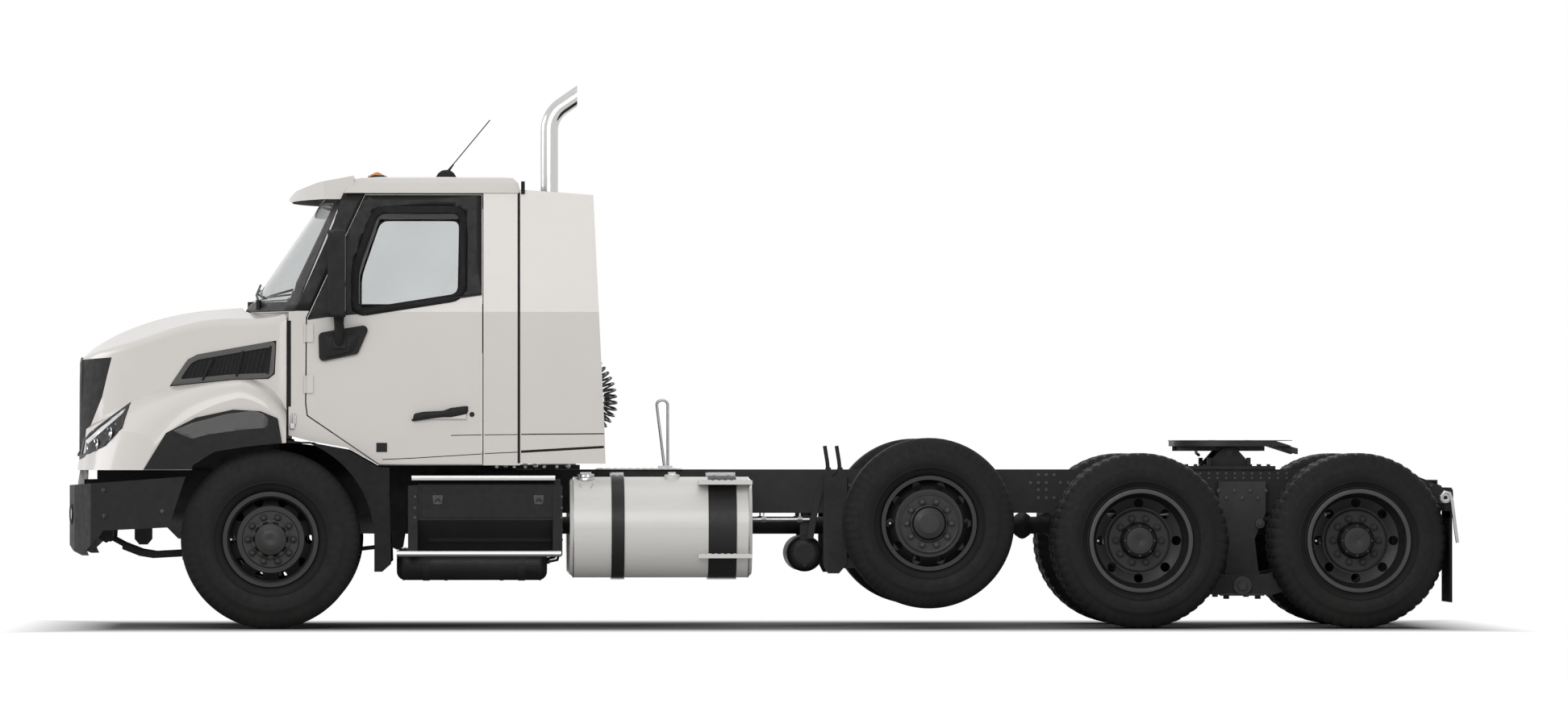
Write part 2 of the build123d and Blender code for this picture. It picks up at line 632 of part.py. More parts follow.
def fender_volume(inset, drop=0.0, back=0.0):
    rear = HOOD_REAR - back
    with BuildPart() as made:
        for out, foot, top_at, top, mid_at, mid, crest, tail in FENDER_RINGS:
            if out > FENDER_FACE:
                out = out - inset
            rear_edge = [(HOOD_REAR, tail - inset), (rear, HOOD_FOOT - drop)]
            if back:
                rear_edge.insert(1, (rear, tail - inset - back))
            with BuildSketch(side(out)):
                with BuildLine():
                    Polyline((rear, HOOD_FOOT - drop), (foot - inset, HOOD_FOOT - drop),
                             (top_at - inset, top - inset))
                    ThreePointArc((top_at - inset, top - inset), (mid_at - inset, mid - inset),
                                  (CREST_AT, crest - inset))
                    ThreePointArc((CREST_AT, crest - inset), (30, (crest + tail) / 2 + 50 - inset),
                                  (HOOD_REAR, tail - inset))
                    Polyline(*rear_edge)
                make_face()
        loft()
    return made.part


def hood_volume(inset, drop=0.0, back=0.0):
    fender = fender_volume(inset, drop, back)
    return nose_volume(inset, drop, back) + fender + mirror(fender, Plane.XZ)


hood_outer = hood_volume(0)
hood_inner = hood_volume(HOOD_SKIN, 60, 60)
hood_skin = hood_outer - hood_inner

GRILLE_HALF = 600.0
GRILLE_SIDE = [(972, 1712), (1300, 1690), (1300, 1105), (1216, 1105)]
LAMP_SIDE = [(1214, 1072), (1300, 1072), (1300, 1190), (1189, 1190), (893, 1412), (935, 1262),
             (1042, 1152)]
INTAKE = [(643, 1523), (526, 1695), (466, 1725), (-35, 1811), (-25, 1599), (15, 1569), (233, 1562)]
WHEEL_ARCH = [(500, 960), (486, 1027), (349, 1113), (157, 1143), (-35, 1164), (-160, 1170), (-160, 960)]
FLARE_OUT = [(794, 1000), (653, 1230), (466, 1326), (233, 1376), (61, 1366), (-46, 1321), (-71, 1174),
             (-71, 1000)]


def half_prism(points, amount, y_low, y_high):
    return grown_prism(side(y_high), points, amount, y_high - y_low)


with BuildPart() as hood_shell:
    add(hood_skin)
    add(half_prism(GRILLE_SIDE, 0, -GRILLE_HALF, GRILLE_HALF), mode=Mode.SUBTRACT)
    for side_piece in (half_prism(LAMP_SIDE, 0, 700, 1300), half_prism(INTAKE, 0, 690, 1240),
                       half_prism(WHEEL_ARCH, 0, 700, 1300)):
        for cut in both(side_piece):
            add(cut, mode=Mode.SUBTRACT)
    # rear edge of the top clears the cowl
    with BuildSketch(plan(BELT_Z - 62)):
        with BuildLine():
            ThreePointArc((-170, -CAB_HALF - 30), (COWL_REACH + 8, 0), (-170, CAB_HALF + 30))
            Line((-170, CAB_HALF + 30), (-170, -CAB_HALF - 30))
        make_face()
    extrude(amount=300, mode=Mode.SUBTRACT)
    # hinge arms inside the nose, each with its pin
    arm = [(HINGE_AT - 26, 1060), (HINGE_AT - 20, HINGE_Z), (HINGE_AT, HINGE_Z - 24),
           (HINGE_AT + 20, HINGE_Z), (HINGE_AT - 4, 1060)]
    for piece in both(side_prism(arm, HINGE_Y + 24 + RUN, HINGE_Y + RUN)):
        add(piece)
    for piece in both(cross_rod(HINGE_AT, HINGE_Z, HINGE_PIN_R, HINGE_Y + RUN + 12, HINGE_Y - 30)):
        add(piece)
finish(hood_shell, "hood_shell")

# ---- grilles: a wrapped nose grille with slats, and the two side intakes ----
GRILLE_SKIN = 24.0
SLAT_ROWS, SLAT_BAYS = 9, 4
SLAT_LOW, SLAT_HIGH = 1135.0, 1660.0
grille_outer, grille_inner = nose_volume(3), nose_volume(3 + GRILLE_SKIN, 60, 60)
with BuildPart() as grilles:
    add(grille_outer & half_prism(GRILLE_SIDE, -FIT, -GRILLE_HALF, GRILLE_HALF))
    for insert in both(grille_outer & half_prism(INTAKE, -FIT, 690, 1240)):
        add(insert)
    add(grille_inner, mode=Mode.SUBTRACT)
    pitch = (SLAT_HIGH - SLAT_LOW) / SLAT_ROWS
    for row in range(SLAT_ROWS):
        for bay in range(SLAT_BAYS):
            with Locations((STEER_X + HINGE_AT - 10, (bay - SLAT_BAYS / 2 + 0.5) * 140,
                            SLAT_LOW + (row + 0.5) * pitch)):
                Box(120, 118, pitch - 20, mode=Mode.SUBTRACT)
finish(grilles, "grilles")

LAMP_DEPTH = 50.0
lamp = (fender_volume(2) & half_prism(LAMP_SIDE, -FIT, 700, 1300)) - fender_volume(LAMP_DEPTH, 60, 60)
with BuildPart() as headlamps:
    for piece in both(lamp):
        add(piece)
finish(headlamps, "headlamps")

flare = half_prism(FLARE_OUT, 0, 1220, 1256) - half_prism(WHEEL_ARCH, 0, 1100, 1300)
flare = flare - fender_volume(-FIT)
with BuildPart() as fender_flares:
    for piece in both(flare):
        add(piece)
finish(fender_flares, "fender_flares")

# ---- wheels: each body is a tyre node and a wheel node ----
RIM_WALL = 12.0
FLANGE_RISE = 13.0


def ring_profile(plane, points, centre_z):
    """Revolves offsets (across the truck, outward from the axle) about the axle."""
    with BuildPart() as made:
        with BuildSketch(plane):
            with BuildLine():
                Polyline(*[(y, centre_z + r) for y, r in points], close=True)
            make_face()
        revolve(axis=Axis((plane.origin.X, 0, centre_z), (0, 1, 0)))
    return made.part


def tyre_ring(at, y, z, radius, width, bead):
    half, seat = width / 2, width * 0.36
    inner = bead + FIT
    return ring_profile(front(0, at), [
        (y - seat + 8, inner), (y - seat, inner + 22), (y - half, bead + (radius - bead) * 0.42),
        (y - half + 6, radius - 95), (y - half + 20, radius - 32), (y - half + 58, radius),
        (y + half - 58, radius), (y + half - 20, radius - 32), (y + half - 6, radius - 95),
        (y + half, bead + (radius - bead) * 0.42), (y + seat, inner + 22), (y + seat - 8, inner)], z)


def rim_ring(at, y, z, bead, width):
    """Barrel with a flange at each edge."""
    half = width * 0.36
    low = bead - RIM_WALL
    return ring_profile(front(0, at), [
        (y - half - 14, low), (y + half + 14, low), (y + half + 14, bead + FLANGE_RISE),
        (y + half + 2, bead + FLANGE_RISE), (y + half - 6, bead), (y - half + 6, bead),
        (y - half - 2, bead + FLANGE_RISE), (y - half - 14, bead + FLANGE_RISE)], z)


def wheel_disc(at, z, bead, points, holes, hole_radius, hole_ring, y_low, y_high):
    disc = ring_profile(front(0, at), points, z)
    with BuildPart() as cuts:
        with BuildSketch(side(y_high, at)):
            with Locations((0, z)):
                with PolarLocations(hole_ring, holes):
                    Circle(hole_radius)
        extrude(amount=y_high - y_low)
    return disc - cuts.part


# steer and pusher wheels: domed disc set outboard; drive wheels: deep dish inboard
HUB_BORE = SPINDLE_R + FIT
DRUM_R = 205.0


def outset_wheel(at, y, z, bead, width, disc_y, cap_r, cap_y, ring_r):
    low = bead - RIM_WALL
    disc = wheel_disc(at, z, bead, [
        (y + 20, low + 2), (y + 34, low + 2), (disc_y - 20, low - 45), (disc_y, ring_r + 30),
        (disc_y, ring_r), (disc_y + 16, ring_r - 6), (disc_y + 16, cap_r), (disc_y - 4, cap_r),
        (disc_y - 4, HUB_BORE), (disc_y - 14, HUB_BORE), (disc_y - 14, ring_r + 20),
        (disc_y - 34, low - 50), (y + 4, low - 6)], 10, 28, (low + ring_r) / 2 + 14, disc_y - 80,
        disc_y + 60)
    hub = ring_profile(front(0, at), [
        (y + 2, HUB_BORE), (disc_y + 2, HUB_BORE), (disc_y + 2, 0), (cap_y, 0), (cap_y, cap_r * 0.55),
        (cap_y - 14, cap_r * 0.86), (disc_y + 10, cap_r), (disc_y - 10, cap_r), (y + 16, cap_r + 30),
        (y + 16, DRUM_R), (y - 80, DRUM_R), (y - 80, DRUM_R - 17), (y + 2, DRUM_R - 17)], z)
    return [rim_ring(at, y, z, bead, width), disc, hub]


DISH_Y = DRIVE_INNER_Y + TWIN_SPACING / 2
DRIVE_SPINDLE_R = 60.0


def twin_wheel(at, z):
    """Inner and outer rim back to back, hub and drum on one centre."""
    low = RIM_245 - RIM_WALL
    bore = DRIVE_SPINDLE_R + FIT
    pieces = [rim_ring(at, y, z, RIM_245, DRIVE_W) for y in (DRIVE_OUTER_Y, DRIVE_INNER_Y)]
    pieces.append(wheel_disc(at, z, RIM_245, [
        (DRIVE_OUTER_Y - 40, low + 2), (DRIVE_OUTER_Y - 54, low + 2), (DISH_Y + 30, low - 26),
        (DISH_Y, low - 80), (DISH_Y - 30, low - 26), (DRIVE_INNER_Y + 54, low + 2),
        (DRIVE_INNER_Y + 40, low + 2), (DISH_Y - 42, low - 30), (DISH_Y - 13, low - 90),
        (DISH_Y - 13, bore), (DISH_Y + 13, bore), (DISH_Y + 13, low - 90), (DISH_Y + 42, low - 30)],
        8, 30, low - 62, DISH_Y - 100, DISH_Y + 100))
    pieces.append(ring_profile(front(0, at), [
        (DRIVE_INNER_Y - 90, bore), (DISH_Y + 30, bore), (DISH_Y + 30, 0), (DISH_Y + 150, 0),
        (DISH_Y + 150, 84), (DISH_Y + 138, 100), (DISH_Y + 60, 104), (DISH_Y + 12, 118),
        (DISH_Y - 20, 150), (DISH_Y - 40, 215), (DRIVE_INNER_Y - 60, 215), (DRIVE_INNER_Y - 60, 196),
        (DISH_Y - 60, 196), (DISH_Y - 60, 100), (DRIVE_INNER_Y - 90, 100)], z))
    return pieces


steer_wheel = outset_wheel(STEER_X, STEER_Y, STEER_Z, RIM_225, STEER_W, STEER_Y + 96, 112,
                           STEER_Y + 190, 180)
pusher_wheel = outset_wheel(PUSHER_X, PUSHER_Y, PUSHER_Z, RIM_225, PUSHER_W, PUSHER_Y + 118, 111,
                            PUSHER_Y + 188, 182)
steer_tyre = [tyre_ring(STEER_X, STEER_Y, STEER_Z, STEER_R, STEER_W, RIM_225)]
pusher_tyre = [tyre_ring(PUSHER_X, PUSHER_Y, PUSHER_Z, PUSHER_R, PUSHER_W, RIM_225)]

WHEELS = [("steer", steer_tyre, steer_wheel), ("pusher", pusher_tyre, pusher_wheel)]
for name, ahead in (("drive_front", BOGIE_SPACING / 2), ("drive_rear", -BOGIE_SPACING / 2)):
    at = BOGIE_X + ahead
    tyres = [tyre_ring(at, y, DRIVE_Z, DRIVE_R, DRIVE_W, RIM_245) for y in (DRIVE_INNER_Y, DRIVE_OUTER_Y)]
    WHEELS.append((name, tyres, twin_wheel(at, DRIVE_Z)))

for name, tyres, wheels in WHEELS:
    for kind, pieces in (("tyre", tyres), ("wheel", wheels)):
        with BuildPart() as left_one:
            for piece in pieces:
                add(piece)
        finish(left_one, f"{kind}_{name}_left")
        with BuildPart() as right_one:
            add(mirror(left_one.part, Plane.XZ))
        finish(right_one, f"{kind}_{name}_right")

# ---- fuel tanks, round, on cradles from the rails ----
TANK_R = 317.0
TANK_Y, TANK_Z = BODY_HALF - TANK_R, 637.0
TANK_FRONT, TANK_BACK = -1877.0, -3021.0
STRAP = 5.0
with BuildPart() as fuel_tanks:
    for tank in both(long_rod(TANK_Y, TANK_Z, TANK_R, TANK_BACK, TANK_FRONT)):
        add(tank)
    chamfer(fuel_tanks.edges().filter_by(GeomType.CIRCLE), length=22)
    for strap_front, strap_wide in ((-2135, 86), (-2743, 182)):
        ring = (long_rod(TANK_Y, TANK_Z, TANK_R + STRAP, strap_front - strap_wide, strap_front)
                - long_rod(TANK_Y, TANK_Z, TANK_R - 1, strap_front - strap_wide, strap_front))
        for piece in both(ring):
            add(piece)
        cradle = prism(front(strap_front - strap_wide), [
            (FRAME_HALF, RAIL_TOP - 20), (TANK_Y - 120, RAIL_TOP - 40), (TANK_Y, TANK_Z),
            (TANK_Y + 60, TANK_Z - TANK_R - 12), (TANK_Y - 140, TANK_Z - TANK_R - 12),
            (FRAME_HALF, RAIL_BOTTOM + 20)], strap_wide)
        cradle = cradle - long_rod(TANK_Y, TANK_Z, TANK_R, strap_front - 300, strap_front + 50)
        for piece in both(cradle):
            add(piece)
    # filler and gauge caps, and the two step treads on the outer rear quarter
    for cap_x in (-1978, -2520):
        for piece in both(upright_rod(cap_x, TANK_Y + 60, 48, TANK_Z + TANK_R - 30, TANK_Z + TANK_R + 14)):
            add(piece)
    for inner, low in ((TANK_Y + 100, 906), (TANK_Y + 225, 444)):
        for piece in both(block(-3020, -2682, inner, BODY_HALF - 4, low, low + 26)):
            add(piece)
finish(fuel_tanks, "fuel_tanks")

# ---- step boxes under the doors, with top tread and lower tube ----
BOX_FRONT, BOX_BACK = -921.0, -1817.0
BOX_Y = 1190.0
BOX_LOW = 494.0
with BuildPart() as step_box:
    box_section = [(FRAME_HALF, BOX_TOP), (BOX_Y - 60, BOX_TOP), (BOX_Y, 906), (BOX_Y, 683),
                   (BOX_Y - 170, BOX_LOW), (FRAME_HALF + 190, BOX_LOW), (FRAME_HALF + 190, 800),
                   (FRAME_HALF, 800)]
    for piece in both(prism(front(BOX_BACK), box_section, BOX_FRONT - BOX_BACK)):
        add(piece)
    for piece in both(block(BOX_BACK + 36, BOX_FRONT + 35, BOX_Y - 230, BODY_HALF - 25, 931, 961)):
        add(piece)
    for piece in both(long_rod(BODY_HALF - 40, 473, 18, BOX_BACK, BOX_FRONT + 126)):
        add(piece)
    for x_low, x_high in ((BOX_FRONT, BOX_FRONT + 60), (BOX_BACK - 12, BOX_BACK + 48)):
        end_plate = prism(front(x_low), [(BOX_Y - 40, 900), (BOX_Y + 10, 900), (BODY_HALF - 30, 480),
                                         (BODY_HALF - 60, 460), (BOX_Y - 200, 480), (BOX_Y - 200, 540)],
                          x_high - x_low)
        for piece in both(end_plate):
            add(piece)
finish(step_box, "step_box")

# ---- air tanks: one along each step box, one across under the rails ----
LONG_TANK_R, LONG_TANK_Y, LONG_TANK_Z = 94.0, 880.0, 397.0
CROSS_TANK_R, CROSS_TANK_AT, CROSS_TANK_Z = 114.0, -3376.0, 466.0
with BuildPart() as air_tanks:
    for piece in both(long_rod(LONG_TANK_Y, LONG_TANK_Z, LONG_TANK_R, -1736, -789)):
        add(piece)
    add(cross_rod(CROSS_TANK_AT, CROSS_TANK_Z, CROSS_TANK_R, -400, 400))
    fillet(air_tanks.edges().filter_by(GeomType.CIRCLE), radius=55)
    for strap_x in (-1000, -1600):
        for piece in both(block(strap_x, strap_x + 50, LONG_TANK_Y - 20, LONG_TANK_Y + 20,
                                LONG_TANK_Z + LONG_TANK_R - 10, BOX_LOW)):
            add(piece)
    for piece in both(block(CROSS_TANK_AT - 30, CROSS_TANK_AT + 30, 350, 385, CROSS_TANK_Z, RAIL_BOTTOM)):
        add(piece)
finish(air_tanks, "air_tanks")

# ---- splash guards round the steer wheels' rear half, and mud flaps behind the bogie ----
GUARD_R = 650.0              # inside, about the wheel centre
GUARD_SKIN = 8.0
GUARD_FRONT = -240.0         # station where the curve meets the flat part under the cab
GUARD_IN, GUARD_OUT = FRAME_HALF + 240, BODY_HALF - 28
GUARD_ROOF = STEER_Z + sqrt(GUARD_R ** 2 - GUARD_FRONT ** 2)
GUARD_LOW = 359.0
wheel_room = (cross_rod(0, STEER_Z, GUARD_R, FRAME_HALF, BODY_HALF)
              & block(-GUARD_R - 5, GUARD_FRONT, FRAME_HALF, BODY_HALF, STEER_Z - 5, 1300))
panel_outline = [(HOOD_REAR - RUN, GUARD_ROOF), (HOOD_REAR - RUN, 1184), (-248, 1168), (-476, 1127),
                 (-672, 1017), (-745, 1012), (-745, 831), (-756, 409), (-700, GUARD_LOW),
                 (-GUARD_R - GUARD_SKIN, GUARD_LOW), (-GUARD_R - GUARD_SKIN, STEER_Z - 5),
                 (GUARD_FRONT, STEER_Z - 5), (GUARD_FRONT, GUARD_ROOF)]
with BuildPart() as mud_flaps:
    panel = side_prism(panel_outline, GUARD_OUT, GUARD_OUT - GUARD_SKIN) - wheel_room
    curve = (cross_rod(0, STEER_Z, GUARD_R + GUARD_SKIN, GUARD_IN, GUARD_OUT)
             & block(-800, GUARD_FRONT, GUARD_IN, GUARD_OUT, STEER_Z, 1300)) - wheel_room
    roof = block(GUARD_FRONT - 6, HOOD_REAR - RUN, GUARD_IN, GUARD_OUT, GUARD_ROOF, GUARD_ROOF + GUARD_SKIN)
    apron = block(-GUARD_R - GUARD_SKIN, -GUARD_R, GUARD_IN, GUARD_OUT, GUARD_LOW, STEER_Z + 5)
    lip = block(-700, -646, FRAME_HALF, GUARD_OUT, 980, 996)
    flap = block(RAIL_REAR + 8, RAIL_REAR + 20, 640, 1240, 165, 740)
    arm = block(RAIL_REAR, RAIL_REAR + 50, FRAME_HALF, 1235, 740, 790)
    for shape in (panel, curve, roof, apron, lip, flap, arm):
        for piece in both(shape):
            add(piece)
finish(mud_flaps, "mud_flaps")

# ---- deck plate, hose post, tail lamps ----
TAIL_AT = BOGIE_AT - REAR_OVERHANG
with BuildPart() as deck_plate:
    add(block(-2596, -2059, -FRAME_HALF - 30, FRAME_HALF + 30, RAIL_TOP, RAIL_TOP + 6))
finish(deck_plate, "deck_plate")

POST_AT, POST_TOP = -2498.0, 1442.0
with BuildPart() as hose_post:
    with BuildLine():
        FilletPolyline((STEER_X + POST_AT - 16, 0, RAIL_TOP + 12), (STEER_X + POST_AT - 16, 0, POST_TOP),
                       (STEER_X + POST_AT + 58, 0, POST_TOP), (STEER_X + POST_AT + 5, 0, RAIL_TOP + 12),
                       radius=30)
    with BuildSketch(Plane(origin=(STEER_X + POST_AT - 16, 0, RAIL_TOP + 12))):
        Circle(9)
    sweep()
    add(block(POST_AT - 45, POST_AT + 45, -40, 40, RAIL_TOP + 6, RAIL_TOP + 24))
finish(hose_post, "hose_post")

with BuildPart() as tail_lamps:
    add(block(TAIL_AT + 8, RAIL_REAR - 45, -FRAME_HALF + 5, FRAME_HALF - 5, 775, 885))
    for piece in both(block(TAIL_AT, TAIL_AT + 9, 140, FRAME_HALF - 15, 795, 865)):
        add(piece)
finish(tail_lamps, "tail_lamps")

# ---- raised pusher axle: dropped beam, trailing arms, air springs, hangers ----
PUSHER_DROP = 190.0
with BuildPart() as pusher_axle:
    low = PUSHER_Z - PUSHER_DROP
    beam = [(-760, PUSHER_Z - 55), (-700, PUSHER_Z - 55), (-520, low - 55), (520, low - 55),
            (700, PUSHER_Z - 55), (760, PUSHER_Z - 55), (760, PUSHER_Z + 55), (660, PUSHER_Z + 55),
            (480, low + 55), (-480, low + 55), (-660, PUSHER_Z + 55), (-760, PUSHER_Z + 55)]
    add(prism(front(-55, PUSHER_X), beam, 110))
    for piece in both(cross_rod(0, PUSHER_Z, SPINDLE_R, PUSHER_Y + 100, 740, at=PUSHER_X)):
        add(piece)
    arm_hanger = [(640, RAIL_BOTTOM + 230), (490, RAIL_BOTTOM + 230), (490, 400), (540, 340), (610, 340),
                  (640, 400)]
    for piece in both(side_prism(arm_hanger, FRAME_HALF + 60, FRAME_HALF, at=PUSHER_X)):
        add(piece)
    trailing_arm = [(600, 430), (600, 370), (-60, low - 85), (-60, low - 45)]
    for piece in both(side_prism(trailing_arm, FRAME_HALF + 50, FRAME_HALF - 30, at=PUSHER_X)):
        add(piece)
    for piece in both(upright_rod(-30, FRAME_HALF - 20, 95, low + 40, RAIL_BOTTOM, at=PUSHER_X)):
        add(piece)
finish(pusher_axle, "pusher_axle")

# ---- drive axles with banjo housings and driveshafts ----
SHAFT_R, SHAFT_Z = 55.0, 643.0
HOUSING_R = 78.0             # axle tube
with BuildPart() as drive_axles:
    for ahead in (BOGIE_SPACING / 2, -BOGIE_SPACING / 2):
        at = BOGIE_X + ahead
        add(cross_rod(0, DRIVE_Z, HOUSING_R, DRIVE_INNER_Y - 110, -DRIVE_INNER_Y + 110, at=at))
        for piece in both(cross_rod(0, DRIVE_Z, DRIVE_SPINDLE_R, DISH_Y + 20, DRIVE_INNER_Y - 120, at=at)):
            add(piece)
        add(ring_profile(front(0, at), [(-190, 0), (190, 0), (170, 120), (110, 200), (-110, 200),
                                        (-170, 120)], DRIVE_Z))
        with BuildSketch(front(60, at)):
            with Locations((0, DRIVE_Z + 30)):
                Circle(150)
        with BuildSketch(front(330, at)):
            with Locations((0, SHAFT_Z)):
                Circle(75)
        loft()
    add(long_rod(0, SHAFT_Z, SHAFT_R, -BOGIE_SPACING / 2 + 320, BOGIE_SPACING / 2 - 50, at=BOGIE_X))
    add(long_rod(0, SHAFT_Z, SHAFT_R, BOGIE_AT + BOGIE_SPACING / 2 + 320, -1060 - FIT))
finish(drive_axles, "drive_axles")

# ---- walking-beam bogie suspension ----
BEAM_Y = 500.0
with BuildPart() as bogie_suspension:
    half_span = BOGIE_SPACING / 2
    walking = [(-half_span - 70, 440), (-half_span - 60, 345), (-half_span + 40, 330), (-190, 205),
               (190, 205), (half_span - 40, 330), (half_span + 60, 345), (half_span + 70, 440),
               (half_span + 20, 462), (half_span - 60, 440), (160, 335), (-160, 335),
               (-half_span + 60, 440), (-half_span - 20, 462)]
    for piece in both(side_prism(walking, BEAM_Y + 45, BEAM_Y - 45, at=BOGIE_X)):
        add(piece)
    hanger = [(-150, RAIL_BOTTOM + 200), (150, RAIL_BOTTOM + 200), (150, RAIL_BOTTOM), (80, 560),
              (110, 300), (-110, 300), (-80, 560), (-150, RAIL_BOTTOM)]
    for piece in both(side_prism(hanger, BEAM_Y + 20, FRAME_HALF, at=BOGIE_X)):
        add(piece)
    for ahead in (half_span, -half_span):
        ear = [(ahead - 110, 420), (ahead + 110, 420), (ahead + 118, DRIVE_Z), (ahead + 60, DRIVE_Z + 108),
               (ahead - 60, DRIVE_Z + 108), (ahead - 118, DRIVE_Z)]
        clamp = (side_prism(ear, BEAM_Y + 30, BEAM_Y - 30, at=BOGIE_X)
                 - cross_rod(ahead, DRIVE_Z, HOUSING_R + FIT, BEAM_Y - 60, BEAM_Y + 60, at=BOGIE_X))
        for piece in both(clamp):
            add(piece)
finish(bogie_suspension, "bogie_suspension")

# ---- fifth wheel: base on the rails, tilting plate with throat and bore ----
BASE_FRONT, BASE_BACK = BOGIE_AT + 445.0, BOGIE_AT - 218.0
TILT_Y = 330.0
with BuildPart() as fifth_wheel_base:
    add(block(BASE_BACK, BASE_FRONT, -FRAME_HALF - 20, FRAME_HALF + 20, RAIL_TOP, RAIL_TOP + 22))
    ear = [(TILT_AT - 150, RAIL_TOP + 20), (TILT_AT + 150, RAIL_TOP + 20), (TILT_AT + 60, TILT_Z + 12),
           (TILT_AT + 30, TILT_Z + 32), (TILT_AT - 30, TILT_Z + 32), (TILT_AT - 60, TILT_Z + 12)]
    for piece in both(side_prism(ear, TILT_Y + 30, TILT_Y - 30)):
        add(piece)
    for piece in both(cross_rod(TILT_AT, TILT_Z, TILT_PIN_R + FIT, TILT_Y + 60, TILT_Y - 60)):
        add(piece, mode=Mode.SUBTRACT)
finish(fifth_wheel_base, "fifth_wheel_base")

PLATE_R, PLATE_THICK = 480.0, 36.0
KING_R = 25.7
RAMP_AT = BOGIE_AT - 212.0
KING_AT = BOGIE_AT + 40.0
with BuildPart() as fifth_wheel_plate:
    with BuildSketch(plan(PLATE_TOP - PLATE_THICK)):
        with BuildLine():
            Polyline((BOGIE_AT + 415, -260), (BOGIE_AT + 415, 260))
            ThreePointArc((BOGIE_AT + 415, 260), (BOGIE_AT + 300, 430), (BOGIE_AT + 60, PLATE_R))
            Polyline((BOGIE_AT + 60, PLATE_R), (RAMP_AT, 440), (BOGIE_AT - 370, 330), (BOGIE_AT - 370, 120),
                     (KING_AT, KING_R), (KING_AT, -KING_R), (BOGIE_AT - 370, -120), (BOGIE_AT - 370, -330),
                     (RAMP_AT, -440), (BOGIE_AT + 60, -PLATE_R))
            ThreePointArc((BOGIE_AT + 60, -PLATE_R), (BOGIE_AT + 300, -430), (BOGIE_AT + 415, -260))
        make_face()
    extrude(amount=PLATE_THICK)
    with Locations((STEER_X + KING_AT, 0, PLATE_TOP)):
        Cylinder(KING_R, 200, mode=Mode.SUBTRACT)
    ramp = side_prism([(RAMP_AT, PLATE_TOP + 1), (BOGIE_AT - 400, PLATE_TOP + 1),
                       (BOGIE_AT - 400, PLATE_TOP - 56)], 500, -500)
    add(ramp, mode=Mode.SUBTRACT)
    under = side_prism([(RAMP_AT, PLATE_TOP - PLATE_THICK), (BOGIE_AT - 370, PLATE_TOP - 86),
                        (BOGIE_AT - 370, PLATE_TOP - 50), (RAMP_AT, PLATE_TOP - 8)], 330, 122)
    for piece in both(under):
        add(piece)
    # hinge blocks between the ears, each with its pin
    for piece in both(side_prism([(TILT_AT - 70, PLATE_TOP - 30), (TILT_AT + 70, PLATE_TOP - 30),
                                  (TILT_AT + 36, TILT_Z - 26), (TILT_AT, TILT_Z - 40),
                                  (TILT_AT - 36, TILT_Z - 26)], TILT_Y - 30 - RUN, TILT_Y - 90)):
        add(piece)
    for piece in both(cross_rod(TILT_AT, TILT_Z, TILT_PIN_R, TILT_Y + 34, TILT_Y - 80)):
        add(piece)
finish(fifth_wheel_plate, "fifth_wheel_plate")

# ---- curly trailer air lines: from outlets on the cab's back, parked on couplings below ----
LINE_R = 46.0
SOCKET_REACH = 75.0
LINE_START = CAB_BACK - SOCKET_REACH
LINE_ENDS = {1: (640.0, 1990.0), 2: (770.0, 1950.0)}      # left offset and outlet height
# run length, and its slope down from straight back, from outlet to coupling
LINE_RUNS = [(270, 35), (260, 42), (160, 60), (90, 85), (90, 115), (110, 140), (180, 160), (220, 172)]


def line_route(y, z):
    """Points of a hanging line's middle, each run turning a little further under."""
    x, points = STEER_X + LINE_START, [(STEER_X + LINE_START, y, z)]
    for length, slope in LINE_RUNS:
        x -= length * cos(radians(slope))
        z -= length * sin(radians(slope))
        points.append((x, y, z))
    return points


def corner_radii(points):
    """Largest tangent arcs: 0.45 of the shorter run over the tangent of half the turn."""
    runs = [Vector(*b) - Vector(*a) for a, b in zip(points, points[1:])]
    return [0.45 * min(first.length, second.length) / tan(radians(first.get_angle(second)) / 2)
            for first, second in zip(runs, runs[1:])]


LINE_ROUTES = {number: line_route(y, z) for number, (y, z) in LINE_ENDS.items()}
for number, route in LINE_ROUTES.items():
    radii = corner_radii(route)
    print(f"air_line_{number} radii", [round(r) for r in radii])
    with BuildPart() as air_line:
        with BuildLine() as path:
            FilletPolyline(*route, radius=radii)
        with BuildSketch(Plane(origin=route[0], z_dir=Vector(*route[1]) - Vector(*route[0]))):
            Circle(LINE_R)
        sweep()
    length = sum(run.length for run in path.edges())
    swept = pi * LINE_R ** 2 * length
    print("volume over section times length", round(air_line.part.volume / swept, 4))
    finish(air_line, f"air_line_{number}")

# outlets and parking couplings: turned bodies from the cab's back to the ends of the lines
with BuildPart() as line_sockets:
    for route in LINE_ROUTES.values():
        for end, beside in ((route[0], route[1]), (route[-1], route[-2])):
            away = (Vector(*beside) - Vector(*end)).normalized()
            foot = Vector(STEER_X + CAB_BACK, end[1], end[2] - away.Z * 50)
            with BuildSketch(Plane(origin=end, z_dir=away * -1)):
                Circle(20)
            with BuildSketch(Plane(origin=foot, z_dir=(1, 0, 0))):
                Circle(30)
            loft()
finish(line_sockets, "line_sockets")
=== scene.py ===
"""Looks of the heavy-haul tractor unit: finishes, tyres, lamps, trim, cabin, lines, light and camera."""
import json
from math import cos, pi, radians, sin, tau

import bmesh
import bpy
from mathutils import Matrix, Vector
from mathutils.bvhtree import BVHTree
from mathutils.geometry import tessellate_polygon


